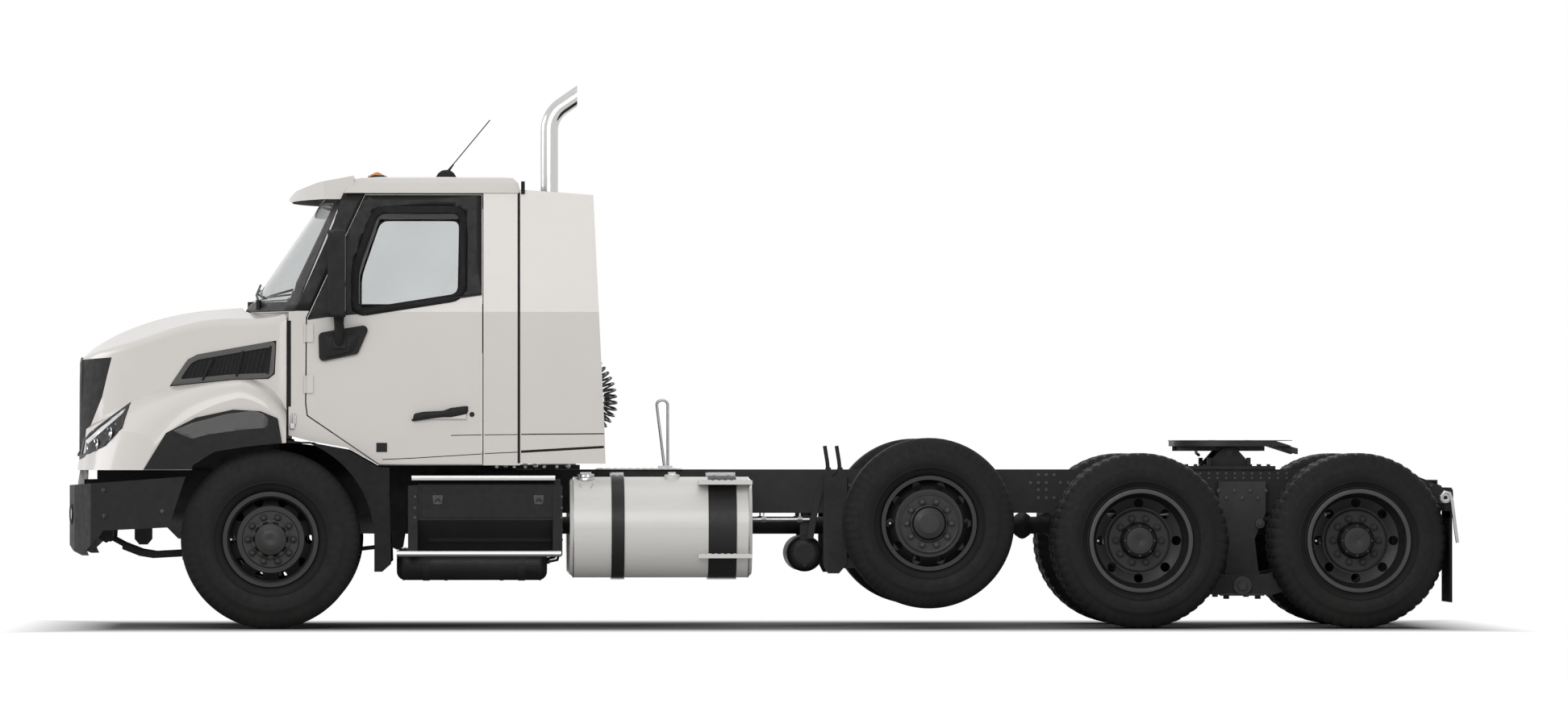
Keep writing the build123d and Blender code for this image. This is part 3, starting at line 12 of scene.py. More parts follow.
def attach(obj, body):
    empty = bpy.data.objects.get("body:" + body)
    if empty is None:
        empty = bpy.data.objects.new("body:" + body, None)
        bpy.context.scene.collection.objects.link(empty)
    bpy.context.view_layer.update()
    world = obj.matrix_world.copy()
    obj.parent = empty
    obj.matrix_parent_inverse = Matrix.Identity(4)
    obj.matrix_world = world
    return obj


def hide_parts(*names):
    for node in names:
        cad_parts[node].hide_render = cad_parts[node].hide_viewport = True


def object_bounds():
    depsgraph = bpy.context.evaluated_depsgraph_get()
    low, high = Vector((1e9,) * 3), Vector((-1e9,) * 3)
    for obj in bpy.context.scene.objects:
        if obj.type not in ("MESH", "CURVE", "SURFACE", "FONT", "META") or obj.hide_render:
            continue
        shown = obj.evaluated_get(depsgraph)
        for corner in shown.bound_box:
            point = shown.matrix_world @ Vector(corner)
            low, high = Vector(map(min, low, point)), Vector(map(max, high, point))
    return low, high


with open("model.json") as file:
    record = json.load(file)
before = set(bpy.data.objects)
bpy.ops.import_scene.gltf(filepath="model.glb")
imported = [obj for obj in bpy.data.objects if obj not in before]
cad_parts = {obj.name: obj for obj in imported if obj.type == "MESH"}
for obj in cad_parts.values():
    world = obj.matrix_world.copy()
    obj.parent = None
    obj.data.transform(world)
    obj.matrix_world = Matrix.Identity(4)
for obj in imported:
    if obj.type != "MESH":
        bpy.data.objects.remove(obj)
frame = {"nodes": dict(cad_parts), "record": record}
CAD_BOX = [list(corner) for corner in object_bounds()]

# ---- places taken from the frame (metres) ----
JOINTS = {joint["name"]: joint for joint in frame["record"]["behaviour"]["joints"]}
STEER_X = JOINTS["steer_left_kingpin"]["pos_m"][0]
SIDES = {"left": 1, "right": -1}


# ---- materials ----
class Nodes:
    """Small helper over a node tree."""

    def __init__(self, tree):
        self.tree = tree

    def put(self, node, inputs):
        """Sets or links a node's sockets, which are given by name or number."""
        for socket, value in inputs.items():
            if isinstance(value, bpy.types.NodeSocket):
                self.tree.links.new(value, node.inputs[socket])
            else:
                node.inputs[socket].default_value = value

    def add(self, kind, inputs, **settings):
        node = self.tree.nodes.new("ShaderNode" + kind)
        for key, value in settings.items():
            setattr(node, key, value)
        self.put(node, inputs)
        return node.outputs

    def math(self, operation, *values, clamp=False):
        return self.add("Math", dict(enumerate(values)), operation=operation, use_clamp=clamp)[0]

    def coordinates(self, scale=(1, 1, 1), turn=(0, 0, 0)):
        place = self.add("TexCoord", {})["Object"]
        return self.add("Mapping", {"Vector": place, "Scale": scale, "Rotation": turn})["Vector"]

    def noise(self, scale, detail=3.0, rough=0.5, stretch=(1, 1, 1)):
        return self.add("TexNoise", {"Vector": self.coordinates(stretch), "Scale": scale, "Detail": detail,
            "Roughness": rough})["Fac"]

    def wave(self, scale, distortion=0.0, turn=(0, 0, 0)):
        return self.add("TexWave", {"Vector": self.coordinates(turn=turn), "Scale": scale,
            "Distortion": distortion})["Fac"]

    def ramp(self, source, low, high, out_low=0.0, out_high=1.0):
        return self.add("MapRange", {"Value": source, "From Min": low, "From Max": high, "To Min": out_low,
            "To Max": out_high})["Result"]

    def mix(self, factor, first, second):
        first, second = [(*c, 1) if isinstance(c, tuple) else c for c in (first, second)]
        return self.add("Mix", {0: factor, 6: first, 7: second}, data_type="RGBA")[2]

    def bump(self, height, strength, distance):
        return self.add("Bump", {"Height": height, "Strength": strength, "Distance": distance})["Normal"]

    def dust_below(self, top):
        """A mask that fades in from a height down to the ground, broken up by noise."""
        fade = self.ramp(self.add("SeparateXYZ", {0: self.coordinates()})["Z"], 0.0, top, 1.0, 0.0)
        return self.math("MULTIPLY", fade, self.ramp(self.noise(3.0, 6.0, 0.65), 0.35, 0.75))


def new_material(name):
    """A new material, its node helper and its shader."""
    material = bpy.data.materials.new(name)
    material.use_nodes = True
    return material, Nodes(material.node_tree), material.node_tree.nodes["Principled BSDF"]


def scaled(color, share):
    return tuple(c * share for c in color)


DUST = (0.34, 0.31, 0.27)


def finish_material(name, color, rough, metal=0.0, spread=0.06, grain=400.0, grain_depth=0.0002,
        grain_strength=0.25, coat=0.0, dust=0.0, dust_top=1.0, blotch=4.0, stretch=(1, 1, 1),
        rough_spread=0.08, specular=0.5):
    """Painted, moulded or cast surface: colour variation, uneven gloss, grain and low dust."""
    material, made, shader = new_material(name)
    tone = made.mix(made.ramp(made.noise(blotch, 5.0, 0.6, stretch), 0.3, 0.7), scaled(color, 1 - spread),
        scaled(color, 1 + spread))
    if dust:
        tone = made.mix(made.ramp(made.dust_below(dust_top), 0.0, 1.0, 0.0, dust), tone, DUST)
    gloss = made.ramp(made.noise(blotch * 5, 4.0, 0.6, stretch), 0.3, 0.7, max(0.02, rough - rough_spread),
        min(1.0, rough + rough_spread))
    made.put(shader, {"Base Color": tone, "Roughness": gloss, "Metallic": metal,
        "Specular IOR Level": specular, "Normal": made.bump(made.noise(grain, 2.0, 0.5, stretch),
        grain_strength, grain_depth)})
    if coat:
        made.put(shader, {"Coat Weight": coat, "Coat Roughness": 0.06})
    return material


def glass_material(name, tint):
    material, made, shader = new_material(name)
    smear = made.mix(made.ramp(made.noise(2.0, 4.0), 0.3, 0.7), tint, scaled(tint, 0.94))
    made.put(shader, {"Base Color": smear, "Roughness": made.ramp(made.noise(6.0, 5.0), 0.4, 0.8, 0.01, 0.04),
        "Transmission Weight": 1.0, "IOR": 1.08, "Specular IOR Level": 0.6})
    return material


def cloth_material(name, color):
    """Woven seat cloth: two crossed thread waves under a soft sheen."""
    material, made, shader = new_material(name)
    threads = made.math("MAXIMUM", made.wave(260.0, 0.6), made.wave(260.0, 0.6, (0, pi / 2, 0)))
    made.put(shader, {"Base Color": made.mix(threads, scaled(color, 0.6), color), "Roughness": 0.9,
        "Sheen Weight": 0.4, "Normal": made.bump(threads, 0.4, 0.0008)})
    return material


def mesh_material(name):
    """Black pressed mesh: a solid sheet whose openings are painted darker, painted shade standing in for
    holes, between slightly raised strands.
    """
    material, made, shader = new_material(name)
    cells = made.add("TexVoronoi", {"Vector": made.coordinates(), "Scale": 90.0, "Randomness": 0.15},
        feature="DISTANCE_TO_EDGE")
    strand = made.ramp(cells["Distance"], 0.06, 0.16, 1.0, 0.0)
    # the openings take the darker colour as painted shade; the strands take the lighter one
    made.put(shader, {"Base Color": made.mix(strand, (0.003, 0.003, 0.003), (0.016, 0.016, 0.016)),
        "Roughness": 0.6, "Specular IOR Level": 0.15, "Normal": made.bump(strand, 0.8, 0.002)})
    return material


def fluted_material(name, color):
    """Clear or coloured lens with fine moulded flutes."""
    material, made, shader = new_material(name)
    flutes = made.wave(60.0)
    made.put(shader, {"Base Color": made.mix(flutes, color, scaled(color, 0.75)), "Roughness": 0.12,
        "Coat Weight": 1.0, "Normal": made.bump(flutes, 0.5, 0.001)})
    return material


PAINT = finish_material("body_paint_coat", (0.545, 0.522, 0.495), 0.38, spread=0.012, grain=1400.0,
    grain_depth=0.00003, grain_strength=0.15, coat=0.5, rough_spread=0.03)
TANK = finish_material("tank_satin", (0.58, 0.565, 0.545), 0.36, metal=0.0, spread=0.02, grain=60.0,
    stretch=(1, 8, 8), grain_strength=0.04, coat=0.15)
BLACK_METAL = finish_material("chassis_black", (0.013, 0.0125, 0.0125), 0.45, spread=0.2, grain=220.0,
    grain_strength=0.3, dust=0.04, dust_top=1.1, specular=0.22)
BLACK_PLASTIC = finish_material("moulded_black", (0.011, 0.0105, 0.0105), 0.6, spread=0.12, grain=900.0,
    grain_depth=0.0004, grain_strength=0.5, dust=0.02, dust_top=0.9, specular=0.2)
BEAM = finish_material("bogie_cast", (0.034, 0.0335, 0.033), 0.55, metal=0.1, spread=0.2, grain=160.0,
    grain_depth=0.001, grain_strength=0.4, dust=0.04, dust_top=1.0, specular=0.3)
TRIM = finish_material("trim_black", (0.0075, 0.0072, 0.0072), 0.45, spread=0.1, grain=900.0, specular=0.18)
SEAL = finish_material("seal_rubber", (0.008, 0.008, 0.008), 0.7, spread=0.15, grain=600.0,
    grain_strength=0.4, specular=0.18)
CAST = finish_material("cast_dark", (0.022, 0.022, 0.022), 0.58, metal=0.3, spread=0.25, grain=140.0,
    grain_depth=0.0012, grain_strength=0.5, dust=0.05, dust_top=1.0, specular=0.22)
TYRE = finish_material("tyre_black", (0.0075, 0.0072, 0.0072), 0.66, spread=0.2, grain=500.0,
    grain_depth=0.0004, grain_strength=0.45, dust=0.02, dust_top=0.9, blotch=7.0, specular=0.18)
DARK_WHEEL = finish_material("wheel_dark", (0.022, 0.022, 0.022), 0.42, metal=0.2, spread=0.15, grain=300.0,
    dust=0.04, dust_top=1.0, specular=0.3)
GREY_WHEEL = finish_material("wheel_grey", (0.028, 0.0275, 0.0275), 0.4, metal=0.35, spread=0.1, grain=260.0,
    dust=0.03, dust_top=1.0, specular=0.3)
RIM = finish_material("rim_edge_grey", (0.058, 0.057, 0.056), 0.4, metal=0.5, spread=0.1, grain=260.0,
    specular=0.3)
STEEL = finish_material("bright_steel", (0.42, 0.42, 0.42), 0.3, metal=0.9, spread=0.1, grain=260.0)
CHROME = finish_material("chrome_plate", (0.58, 0.58, 0.575), 0.16, metal=1.0, spread=0.02, grain=50.0,
    grain_strength=0.02, rough_spread=0.04)
GREASE = finish_material("coupler_greased", (0.012, 0.0115, 0.011), 0.5, metal=0.15, spread=0.35, grain=60.0,
    grain_depth=0.001, grain_strength=0.4, blotch=9.0)
ENGINE = finish_material("engine_cast", (0.09, 0.09, 0.095), 0.5, metal=0.4, spread=0.2, grain=150.0,
    grain_depth=0.001, grain_strength=0.5, dust=0.15, dust_top=1.2)
MIRROR = finish_material("mirror_silver", (0.80, 0.81, 0.82), 0.04, metal=1.0, spread=0.01, grain=30.0,
    grain_strength=0.01, rough_spread=0.02)
GLASS = glass_material("cab_pane", (0.76, 0.775, 0.775))
REFLECTOR = finish_material("lamp_bowl", (0.62, 0.63, 0.65), 0.12, metal=0.95, spread=0.03, grain=80.0)
RED = fluted_material("lamp_red", (0.35, 0.012, 0.010))
AMBER = fluted_material("lamp_amber", (0.62, 0.22, 0.02))
CLEAR = fluted_material("lamp_clear", (0.62, 0.63, 0.64))
CLOTH = cloth_material("seat_weave", (0.055, 0.057, 0.062))
VINYL = finish_material("seat_vinyl", (0.035, 0.035, 0.037), 0.5, spread=0.1, grain=700.0, grain_depth=0.0006,
    grain_strength=0.5)
MESH = mesh_material("grille_mesh_black")
BELT = finish_material("belt_webbing", (0.05, 0.05, 0.052), 0.8, spread=0.1, grain=700.0, grain_strength=0.6,
    stretch=(1, 1, 6))
DASH = finish_material("dash_grain", (0.075, 0.076, 0.08), 0.6, spread=0.06, grain=800.0, grain_depth=0.0006,
    grain_strength=0.6)
LINER = finish_material("cab_liner", (0.25, 0.25, 0.245), 0.8, spread=0.05, grain=500.0, grain_strength=0.4)
# grey of the bezels and frames, also laid on the fender flare's upper face as a painted highlight
BEZEL_GREY_AND_PAINTED_HIGHLIGHT = finish_material("bezel_grey", (0.060, 0.059, 0.058), 0.5, spread=0.08, grain=900.0,
    grain_depth=0.0003, grain_strength=0.4)
LINE = finish_material("line_coil", (0.016, 0.016, 0.017), 0.28, spread=0.1, grain=500.0, coat=0.3)

# the CAD nodes by their finish
NODE_FINISHES = (
    (PAINT, "cab_shell sun_visor cab_fairings hood_shell door_left door_right"),
    (GLASS, "cab_glass door_window_left door_window_right"),
    (DASH, "dashboard"), (CHROME, "exhaust"), (TANK, "fuel_tanks"), (SEAL, "mud_flaps"),
    (BEAM, "bogie_suspension"), (TRIM, "headlamps"), (GREASE, "fifth_wheel_plate"), (ENGINE, "engine"),
    (AMBER, "roof_fittings"),
    (BLACK_METAL, "frame radiator air_tanks tail_lamps fifth_wheel_base"),
    (BLACK_PLASTIC, "bumper step_box grilles fender_flares mirror_left mirror_right"),
    (CAST, "steer_axle pusher_axle drive_axles knuckle_left knuckle_right tie_rod"),
    (STEEL, "deck_plate hose_post line_sockets"), (DARK_WHEEL, "wheel_steer_left wheel_steer_right"),
    (GREY_WHEEL, "wheel_pusher_left wheel_pusher_right wheel_drive_front_left wheel_drive_front_right "
                 "wheel_drive_rear_left wheel_drive_rear_right"),
)


def dress_nodes():
    """Each CAD node that shows as it is gets its finish."""
    for finish, names in NODE_FINISHES:
        for name in names.split():
            materials = frame["nodes"][name].data.materials
            materials.clear()
            materials.append(finish)


# ---- directions, and places clear of the truck from which rays look at it ----
FORWARD, BACKWARD = Vector((1, 0, 0)), Vector((-1, 0, 0))
LEFT, INWARD, UP = Vector((0, 1, 0)), Vector((0, -1, 0)), Vector((0, 0, 1))
BESIDE, AHEAD, FAR_AHEAD, BEHIND = 2.0, 6.0, 8.0, 5.0


# ---- mesh builder ----
def turns(count):
    """Angles evenly spaced round a circle."""
    return [tau * k / count for k in range(count)]


def circle(centre, across, up, radius, count):
    return [centre + across * (radius * cos(a)) + up * (radius * sin(a)) for a in turns(count)]


class Shape:
    """Collects vertices and faces, in the frame's own metres."""

    def __init__(self):
        self.verts, self.faces = [], []

    def add(self, verts, faces):
        base = len(self.verts)
        self.verts += [Vector(v) for v in verts]
        self.faces += [tuple(base + i for i in face) for face in faces]
        return self

    def box(self, low, high):
        (x0, y0, z0), (x1, y1, z1) = low, high
        corners = [(x, y, z) for z in (z0, z1) for y in (y0, y1) for x in (x0, x1)]
        return self.add(corners, [(0, 2, 3, 1), (4, 5, 7, 6), (0, 1, 5, 4), (2, 6, 7, 3), (0, 4, 6, 2),
            (1, 3, 7, 5)])

    def rings(self, rings, closed=True, cap=True):
        """Joins loops of equal length, capped at both ends."""
        count = len(rings[0])
        faces = []
        for row in range(len(rings) - 1):
            for i in range(count if closed else count - 1):
                j = (i + 1) % count
                faces.append((row * count + i, row * count + j, (row + 1) * count + j, (row + 1) * count + i))
        if cap:
            faces.append(tuple(reversed(range(count))))
            faces.append(tuple((len(rings) - 1) * count + i for i in range(count)))
        return self.add([v for ring in rings for v in ring], faces)

    def prism(self, outline, offset):
        """Closed outline of 3-D points pushed by an offset vector."""
        offset = Vector(offset)
        low = [Vector(p) for p in outline]
        return self.rings([low, [p + offset for p in low]])

    def rod(self, start, end, radius, sides=12, end_radius=None):
        start, end = Vector(start), Vector(end)
        across, up = axes_of(end - start)
        return self.rings([circle(start, across, up, radius, sides), circle(end, across, up,
            radius if end_radius is None else end_radius, sides)])

    def tube(self, points, radius, sides=10):
        points = [Vector(p) for p in points]
        loops = []
        across, up = axes_of(points[1] - points[0])
        for i, point in enumerate(points):
            along = (points[min(i + 1, len(points) - 1)] - points[max(i - 1, 0)]).normalized()
            across = (across - along * across.dot(along)).normalized()
            up = along.cross(across)
            loops.append(circle(point, across, up, radius, sides))
        return self.rings(loops)

    def lathe(self, centre, axis, profile, steps=48):
        """Profile of (along, radius) pairs turned about an axis through centre."""
        centre, axis = Vector(centre), Vector(axis).normalized()
        across, up = axes_of(axis)
        loops = []
        for a in turns(steps):
            out = across * cos(a) + up * sin(a)
            loops.append([centre + axis * along + out * radius for along, radius in profile])
        count = len(profile)
        faces = [(k * count + i, ((k + 1) % steps) * count + i, ((k + 1) % steps) * count + i + 1,
            k * count + i + 1) for k in range(steps) for i in range(count - 1)]
        return self.add([v for loop in loops for v in loop], faces)

    def hexagon(self, centre, axis, radius, height):
        axis = Vector(axis).normalized()
        return self.rod(centre, Vector(centre) + axis * height, radius, 6)

    def mirrored(self):
        """Adds the mirror image across the truck's middle."""
        base = len(self.verts)
        self.verts += [Vector((v.x, -v.y, v.z)) for v in self.verts[:base]]
        self.faces += [tuple(base + i for i in reversed(face)) for face in list(self.faces)]
        return self

    def to_side(self, sign):
        if sign < 0:
            self.verts = [Vector((v.x, -v.y, v.z)) for v in self.verts]
            self.faces = [tuple(reversed(face)) for face in self.faces]
        return self

    def make(self, name, material, slot=None, body="chassis", smooth=35.0, bevel=0.0, segments=2,
            thick=0.0):
        """The finished piece, with its edges rounded or its sheet thickened."""
        mesh = bpy.data.meshes.new(name)
        mesh.from_pydata([tuple(v) for v in self.verts], [], self.faces)
        work = bmesh.new()
        work.from_mesh(mesh)
        bmesh.ops.recalc_face_normals(work, faces=work.faces)
        work.to_mesh(mesh)
        work.free()
        mesh.materials.append(material)
        made = bpy.data.objects.new(name, mesh)
        bpy.context.scene.collection.objects.link(made)
        if bevel:
            rounding = made.modifiers.new("rounding", "BEVEL")
            rounding.width = bevel
            rounding.segments = segments
            rounding.limit_method = "ANGLE"
            rounding.angle_limit = radians(40)
        if smooth:
            mesh.shade_smooth()
            mesh.set_sharp_from_angle(angle=radians(smooth))
        if thick:
            shell = made.modifiers.new("thickness", "SOLIDIFY")
            shell.thickness = thick
            shell.offset = 0.0
            made.modifiers.move(len(made.modifiers) - 1, 0)
        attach(made, body)
        return made


def axes_of(direction):
    """Two unit vectors square to a direction."""
    along = Vector(direction).normalized()
    helper = UP if abs(along.z) < 0.9 else FORWARD
    across = along.cross(helper).normalized()
    return across, along.cross(across)


def at(x, y, z):
    """A point given forward of the steer axle, left and up."""
    return Vector((STEER_X + x, y, z))


# ---- surfaces of the frame's own nodes, for trim that lies on them ----
def surface_of(*names):
    verts, faces = [], []
    for name in names:
        mesh = frame["nodes"][name].data
        base = len(verts)
        verts += [v.co.copy() for v in mesh.vertices]
        faces += [tuple(base + i for i in poly.vertices) for poly in mesh.polygons]
    return BVHTree.FromPolygons(verts, faces)


def drape(surface, outline, lift, hole=None, cell=0.04, toward=INWARD, start=BESIDE):
    """An outline in the plane across a direction, cut into cells and laid on a surface.

    Outline points are (forward, up) for a look from the side and (left, up) for one from the front
    or back. Forward counts from the steer axle."""
    axis = max(range(3), key=lambda i: abs(toward[i]))
    keep = [i for i in range(3) if i != axis]
    loops = [[Vector((u, v, 0)) for u, v in loop] for loop in ([outline] if hole is None else [outline,
        hole])]
    flat = [p for loop in loops for p in loop]
    work = bmesh.new()
    verts = [work.verts.new(p) for p in flat]
    for face in tessellate_polygon(loops):
        work.faces.new([verts[i] for i in face])
    for index in (0, 1):
        low, high = min(p[index] for p in flat), max(p[index] for p in flat)
        normal = (1, 0, 0) if index == 0 else (0, 1, 0)
        for step in range(1, max(1, int((high - low) / cell)) + 1):
            place = [0, 0, 0]
            place[index] = low + step * (high - low) / (int((high - low) / cell) + 1)
            bmesh.ops.bisect_plane(work, geom=list(work.verts) + list(work.edges) + list(work.faces),
                plane_co=place, plane_no=normal)
    shape, last = Shape(), 0.0
    for vert in work.verts:
        point = [0.0, 0.0, 0.0]
        point[keep[0]], point[keep[1]] = vert.co.x, vert.co.y
        point[axis] = -toward[axis] * start
        if keep[0] == 0:
            point[0] += STEER_X
        hit, normal, *_ = surface.ray_cast(Vector(point), toward)
        if hit is None:
            point[axis] = last
            hit, normal = Vector(point), -toward
        last = hit[axis]
        if normal.dot(toward) > 0:
            normal = -normal
        shape.verts.append(hit + normal * lift)
    work.verts.index_update()
    shape.faces = [tuple(v.index for v in face.verts) for face in work.faces]
    work.free()
    return shape


def line_on(surface, points, radius, steps, lift):
    """A round bead laid along (forward, up) points on a surface seen from the side, as one tube."""
    placed = []
    for (x0, z0), (x1, z1) in zip(points, points[1:]):
        count = max(1, int(((x1 - x0) ** 2 + (z1 - z0) ** 2) ** 0.5 / 0.05))
        for k in range(count + (points[-1] == (x1, z1))):
            origin = at(x0 + (x1 - x0) * k / count, BESIDE, z0 + (z1 - z0) * k / count)
            hit, *_ = surface.ray_cast(origin, INWARD)
            if hit is not None:
                placed.append(hit - INWARD * lift)
    return Shape().tube(placed, radius, steps)


# ---- tyres ----
def tyre_profile(radius, width, bead, grooves, groove_depth):
    """Half section, crown to bead: (across, out, kind), kind 1 on tread blocks, 2 on the shoulder."""
    half = width / 2
    points = [(0.0, radius, 1)]
    for place in grooves:
        points += [(place - 0.007, radius, 1), (place - 0.005, radius - groove_depth, 0),
            (place + 0.005, radius - groove_depth, 0), (place + 0.007, radius, 1)]
    points += [(half - 0.058, radius, 1), (half - 0.040, radius - 0.008, 2),
        (half - 0.020, radius - 0.032, 2), (half - 0.012, radius - 0.062, 2),
        (half - 0.009, radius - 0.080, 0)]
    height = radius - bead
    wall = [(0.62, 0.004), (0.60, 0.0015), (0.55, 0.0008), (0.46, 0.0), (0.40, 0.001), (0.33, 0.006),
        (0.27, 0.013), (0.25, 0.011), (0.235, 0.018), (0.16, 0.030), (0.12, 0.038)]
    points += [(half - inward, bead + height * share, 0) for share, inward in wall]
    points += [(width * 0.36 + 0.004, bead + 0.020, 0), (width * 0.36 - 0.004, bead + 0.012, 0)]
    return points


def tyre(shape, x, y, z, radius, width, bead, grooves, lugs, lug_depth):
    half = tyre_profile(radius, width, bead, grooves, 0.013)
    section = [(-a, r, kind) for a, r, kind in reversed(half[1:])] + half
    steps = lugs * 4
    loops = []
    for k in range(steps):
        angle = tau * k / steps
        loop = []
        for across, out, kind in section:
            cut = (k + (2 if across > 0 else 0)) % 4 == 3
            drop = (0.0, lug_depth, 0.008)[kind] if cut else 0.0
            loop.append((x + (out - drop) * sin(angle), y + across, z + (out - drop) * cos(angle)))
        loops.append(loop)
    shape.rings(loops + [loops[0]], closed=False, cap=False)


# stations behind the steer axle, and the height of the drive hubs
PUSHER, DRIVE_FRONT, DRIVE_REAR, BOGIE = -4.131, -5.464, -6.836, -6.150
DRIVE_Z = 0.552
STEER_TYRE = dict(radius=0.562, width=0.430, bead=0.2858, grooves=(0.036, 0.098), lugs=64, lug_depth=0.0)
PUSHER_TYRE = dict(radius=0.536, width=0.389, bead=0.2858, grooves=(0.032, 0.088), lugs=64, lug_depth=0.0)
DRIVE_TYRE = dict(radius=0.552, width=0.280, bead=0.3112, grooves=(0.036,), lugs=54, lug_depth=0.010)
# by axle: station, rows of tyres across the truck, height of the hub and the tyre
WHEELS = {"steer": (0.0, (1.030,), 0.562, STEER_TYRE), "pusher": (PUSHER, (1.0505,), 0.663, PUSHER_TYRE),
    "drive_front": (DRIVE_FRONT, (0.760, 1.100), DRIVE_Z, DRIVE_TYRE),
    "drive_rear": (DRIVE_REAR, (0.760, 1.100), DRIVE_Z, DRIVE_TYRE)}


def wheel_body(name, side):
    return f"{name}_wheels_{side}" if name.startswith("drive") else f"{name}_wheel_{side}"


def around(x, z, radius, count, turn=0.0):
    return [(x + radius * sin(tau * (k + turn) / count), z + radius * cos(tau * (k + turn) / count))
        for k in range(count)]


def build_wheels():
    for name, (station, rows, z, sizes) in WHEELS.items():
        for side, sign in SIDES.items():
            x = STEER_X + station
            body = wheel_body(name, side)
            shape = Shape()
            for y in rows:
                tyre(shape, x, y, z, **sizes)
            made = shape.to_side(sign).make(f"tread_tyre_{name}_{side}", TYRE, "tyre_rubber", body, smooth=30)
            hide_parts(f"tyre_{name}_{side}")
            fit_wheel(name, side, sign, x, z, body)


# by kind of wheel: outer face of the disc, radius of the nut circle, then the valve's place across and out
FACES = {"steer": (1.142, 0.1429, 1.165, 0.262), "pusher": (1.1845, 0.1410, 1.165, 0.262),
    "drive": (0.943, 0.1429, 1.145, 0.286)}


def fit_wheel(name, side, sign, x, z, body):
    """Nuts, studs, cap, valve and rim edge of one wheel."""
    kind = name.split("_")[0]
    face, nut_ring, mouth, reach = FACES[kind]
    nuts, studs = Shape(), Shape()
    for px, pz in around(x, z, nut_ring, 10, 0.5):
        nuts.rod((px, face - 0.001, pz), (px, face + 0.005, pz), 0.0235, 16)
        nuts.hexagon((px, face + 0.004, pz), LEFT, 0.0200, 0.024)
        studs.rod((px, face + 0.02, pz), (px, face + 0.042, pz), 0.0105, 10)
    nut_finish = RIM if kind == "pusher" else GREY_WHEEL
    nuts.to_side(sign).make(f"nuts_{name}_{side}", CAST if kind == "steer" else GREY_WHEEL,
        "dark_wheel" if kind == "steer" else "grey_wheel", body, bevel=0.0015)
    made = studs.to_side(sign).make(f"studs_{name}_{side}", nut_finish, "engine_metal", body, bevel=0.001)
    trim = Shape()
    centre = (x, 0, z)
    if kind == "steer":
        trim.lathe(centre, LEFT, [(1.139, 0.125), (1.150, 0.125), (1.153, 0.120), (1.153, 0.112),
            (1.139, 0.112)], 64)
        trim.lathe(centre, LEFT, [(1.2195, 0.0), (1.2235, 0.030), (1.2235, 0.050), (1.2195, 0.0605),
            (1.214, 0.063)], 48)
        for px, pz in around(x, z, 0.104, 10):
            trim.rod((px, 1.140, pz), (px, 1.176, pz), 0.017, 12)
            trim.hexagon((px, 1.175, pz), LEFT, 0.010, 0.008)
        trim.lathe(centre, LEFT, [(1.203, 0.276), (1.203, 0.272), (1.165, 0.258), (1.160, 0.262)], 96)
    elif kind == "pusher":
        trim.lathe(centre, LEFT, [(1.180, 0.190), (1.187, 0.189), (1.191, 0.182), (1.189, 0.175),
            (1.184, 0.174)], 72)
        trim.lathe(centre, LEFT, [(1.2365, 0.0), (1.2395, 0.040), (1.2375, 0.058), (1.233, 0.0615)], 48)
        trim.lathe(centre, LEFT, [(1.184, 0.121), (1.196, 0.120), (1.202, 0.114), (1.203, 0.108)], 64)
    else:
        trim.lathe(centre, LEFT, [(0.942, 0.200), (0.951, 0.199), (0.954, 0.193), (0.951, 0.187),
            (0.942, 0.186)], 72)
        trim.lathe(centre, LEFT, [(1.0795, 0.0), (1.085, 0.028), (1.086, 0.060), (1.0835, 0.082),
            (1.0785, 0.0855)], 48)
        for px, pz in around(x, z, 0.094, 8):
            trim.hexagon((px, 1.066, pz), LEFT, 0.008, 0.012)
        rim = Shape().lathe(centre, LEFT, [(1.190, 0.3245), (1.2165, 0.3255), (1.2175, 0.322),
            (1.2165, 0.302), (1.196, 0.2975), (1.190, 0.299)], 96)
        rim.to_side(sign).make(f"rim_edge_{name}_{side}", RIM, "grey_wheel", body, smooth=40)
    trim.to_side(sign).make(f"hub_trim_{name}_{side}", DARK_WHEEL if kind == "steer" else GREY_WHEEL,
        "dark_wheel" if kind == "steer" else "grey_wheel", body, smooth=40)
    valve = Shape()
    valve.tube([(x + reach, mouth - 0.07, z), (x + reach, mouth - 0.02, z),
        (x + reach - 0.012, mouth + 0.03, z)], 0.0045, 8)
    valve.rod((x + reach - 0.0105, mouth + 0.024, z), (x + reach - 0.016, mouth + 0.046, z), 0.007, 10)
    valve.to_side(sign).make(f"valve_{name}_{side}", STEEL, "engine_metal", body)


# ---- curly trailer lines ----
# where the lines leave the cab: forward, then across and up; their runs: length and slope in degrees
LINE_START = -1.640
LINE_ENDS = {1: (0.640, 1.990), 2: (0.770, 1.950)}
LINE_RUNS = [(0.270, 35), (0.260, 42), (0.160, 60), (0.090, 85), (0.090, 115), (0.110, 140), (0.180, 160),
    (0.220, 172)]


def line_points(y, z):
    x, points = STEER_X + LINE_START, [Vector((STEER_X + LINE_START, y, z))]
    for length, slope in LINE_RUNS:
        x -= length * cos(radians(slope))
        z -= length * sin(radians(slope))
        points.append(Vector((x, y, z)))
    return points


def spline_points(name, route):
    """Points of the smooth spline whose control points are the route's."""
    curve = bpy.data.curves.new(name, "CURVE")
    curve.dimensions = "3D"
    curve.resolution_u = 24
    spline = curve.splines.new("NURBS")
    spline.points.add(len(route) - 1)
    for point, place in zip(spline.points, route):
        point.co = (*place, 1)
    spline.order_u = 3
    spline.use_endpoint_u = True
    holder = bpy.data.objects.new(name, curve)
    bpy.context.scene.collection.objects.link(holder)
    bpy.context.view_layer.update()
    mesh = bpy.data.meshes.new_from_object(holder)
    points = [v.co.copy() for v in mesh.vertices]
    bpy.data.objects.remove(holder)
    bpy.data.curves.remove(curve)
    return points


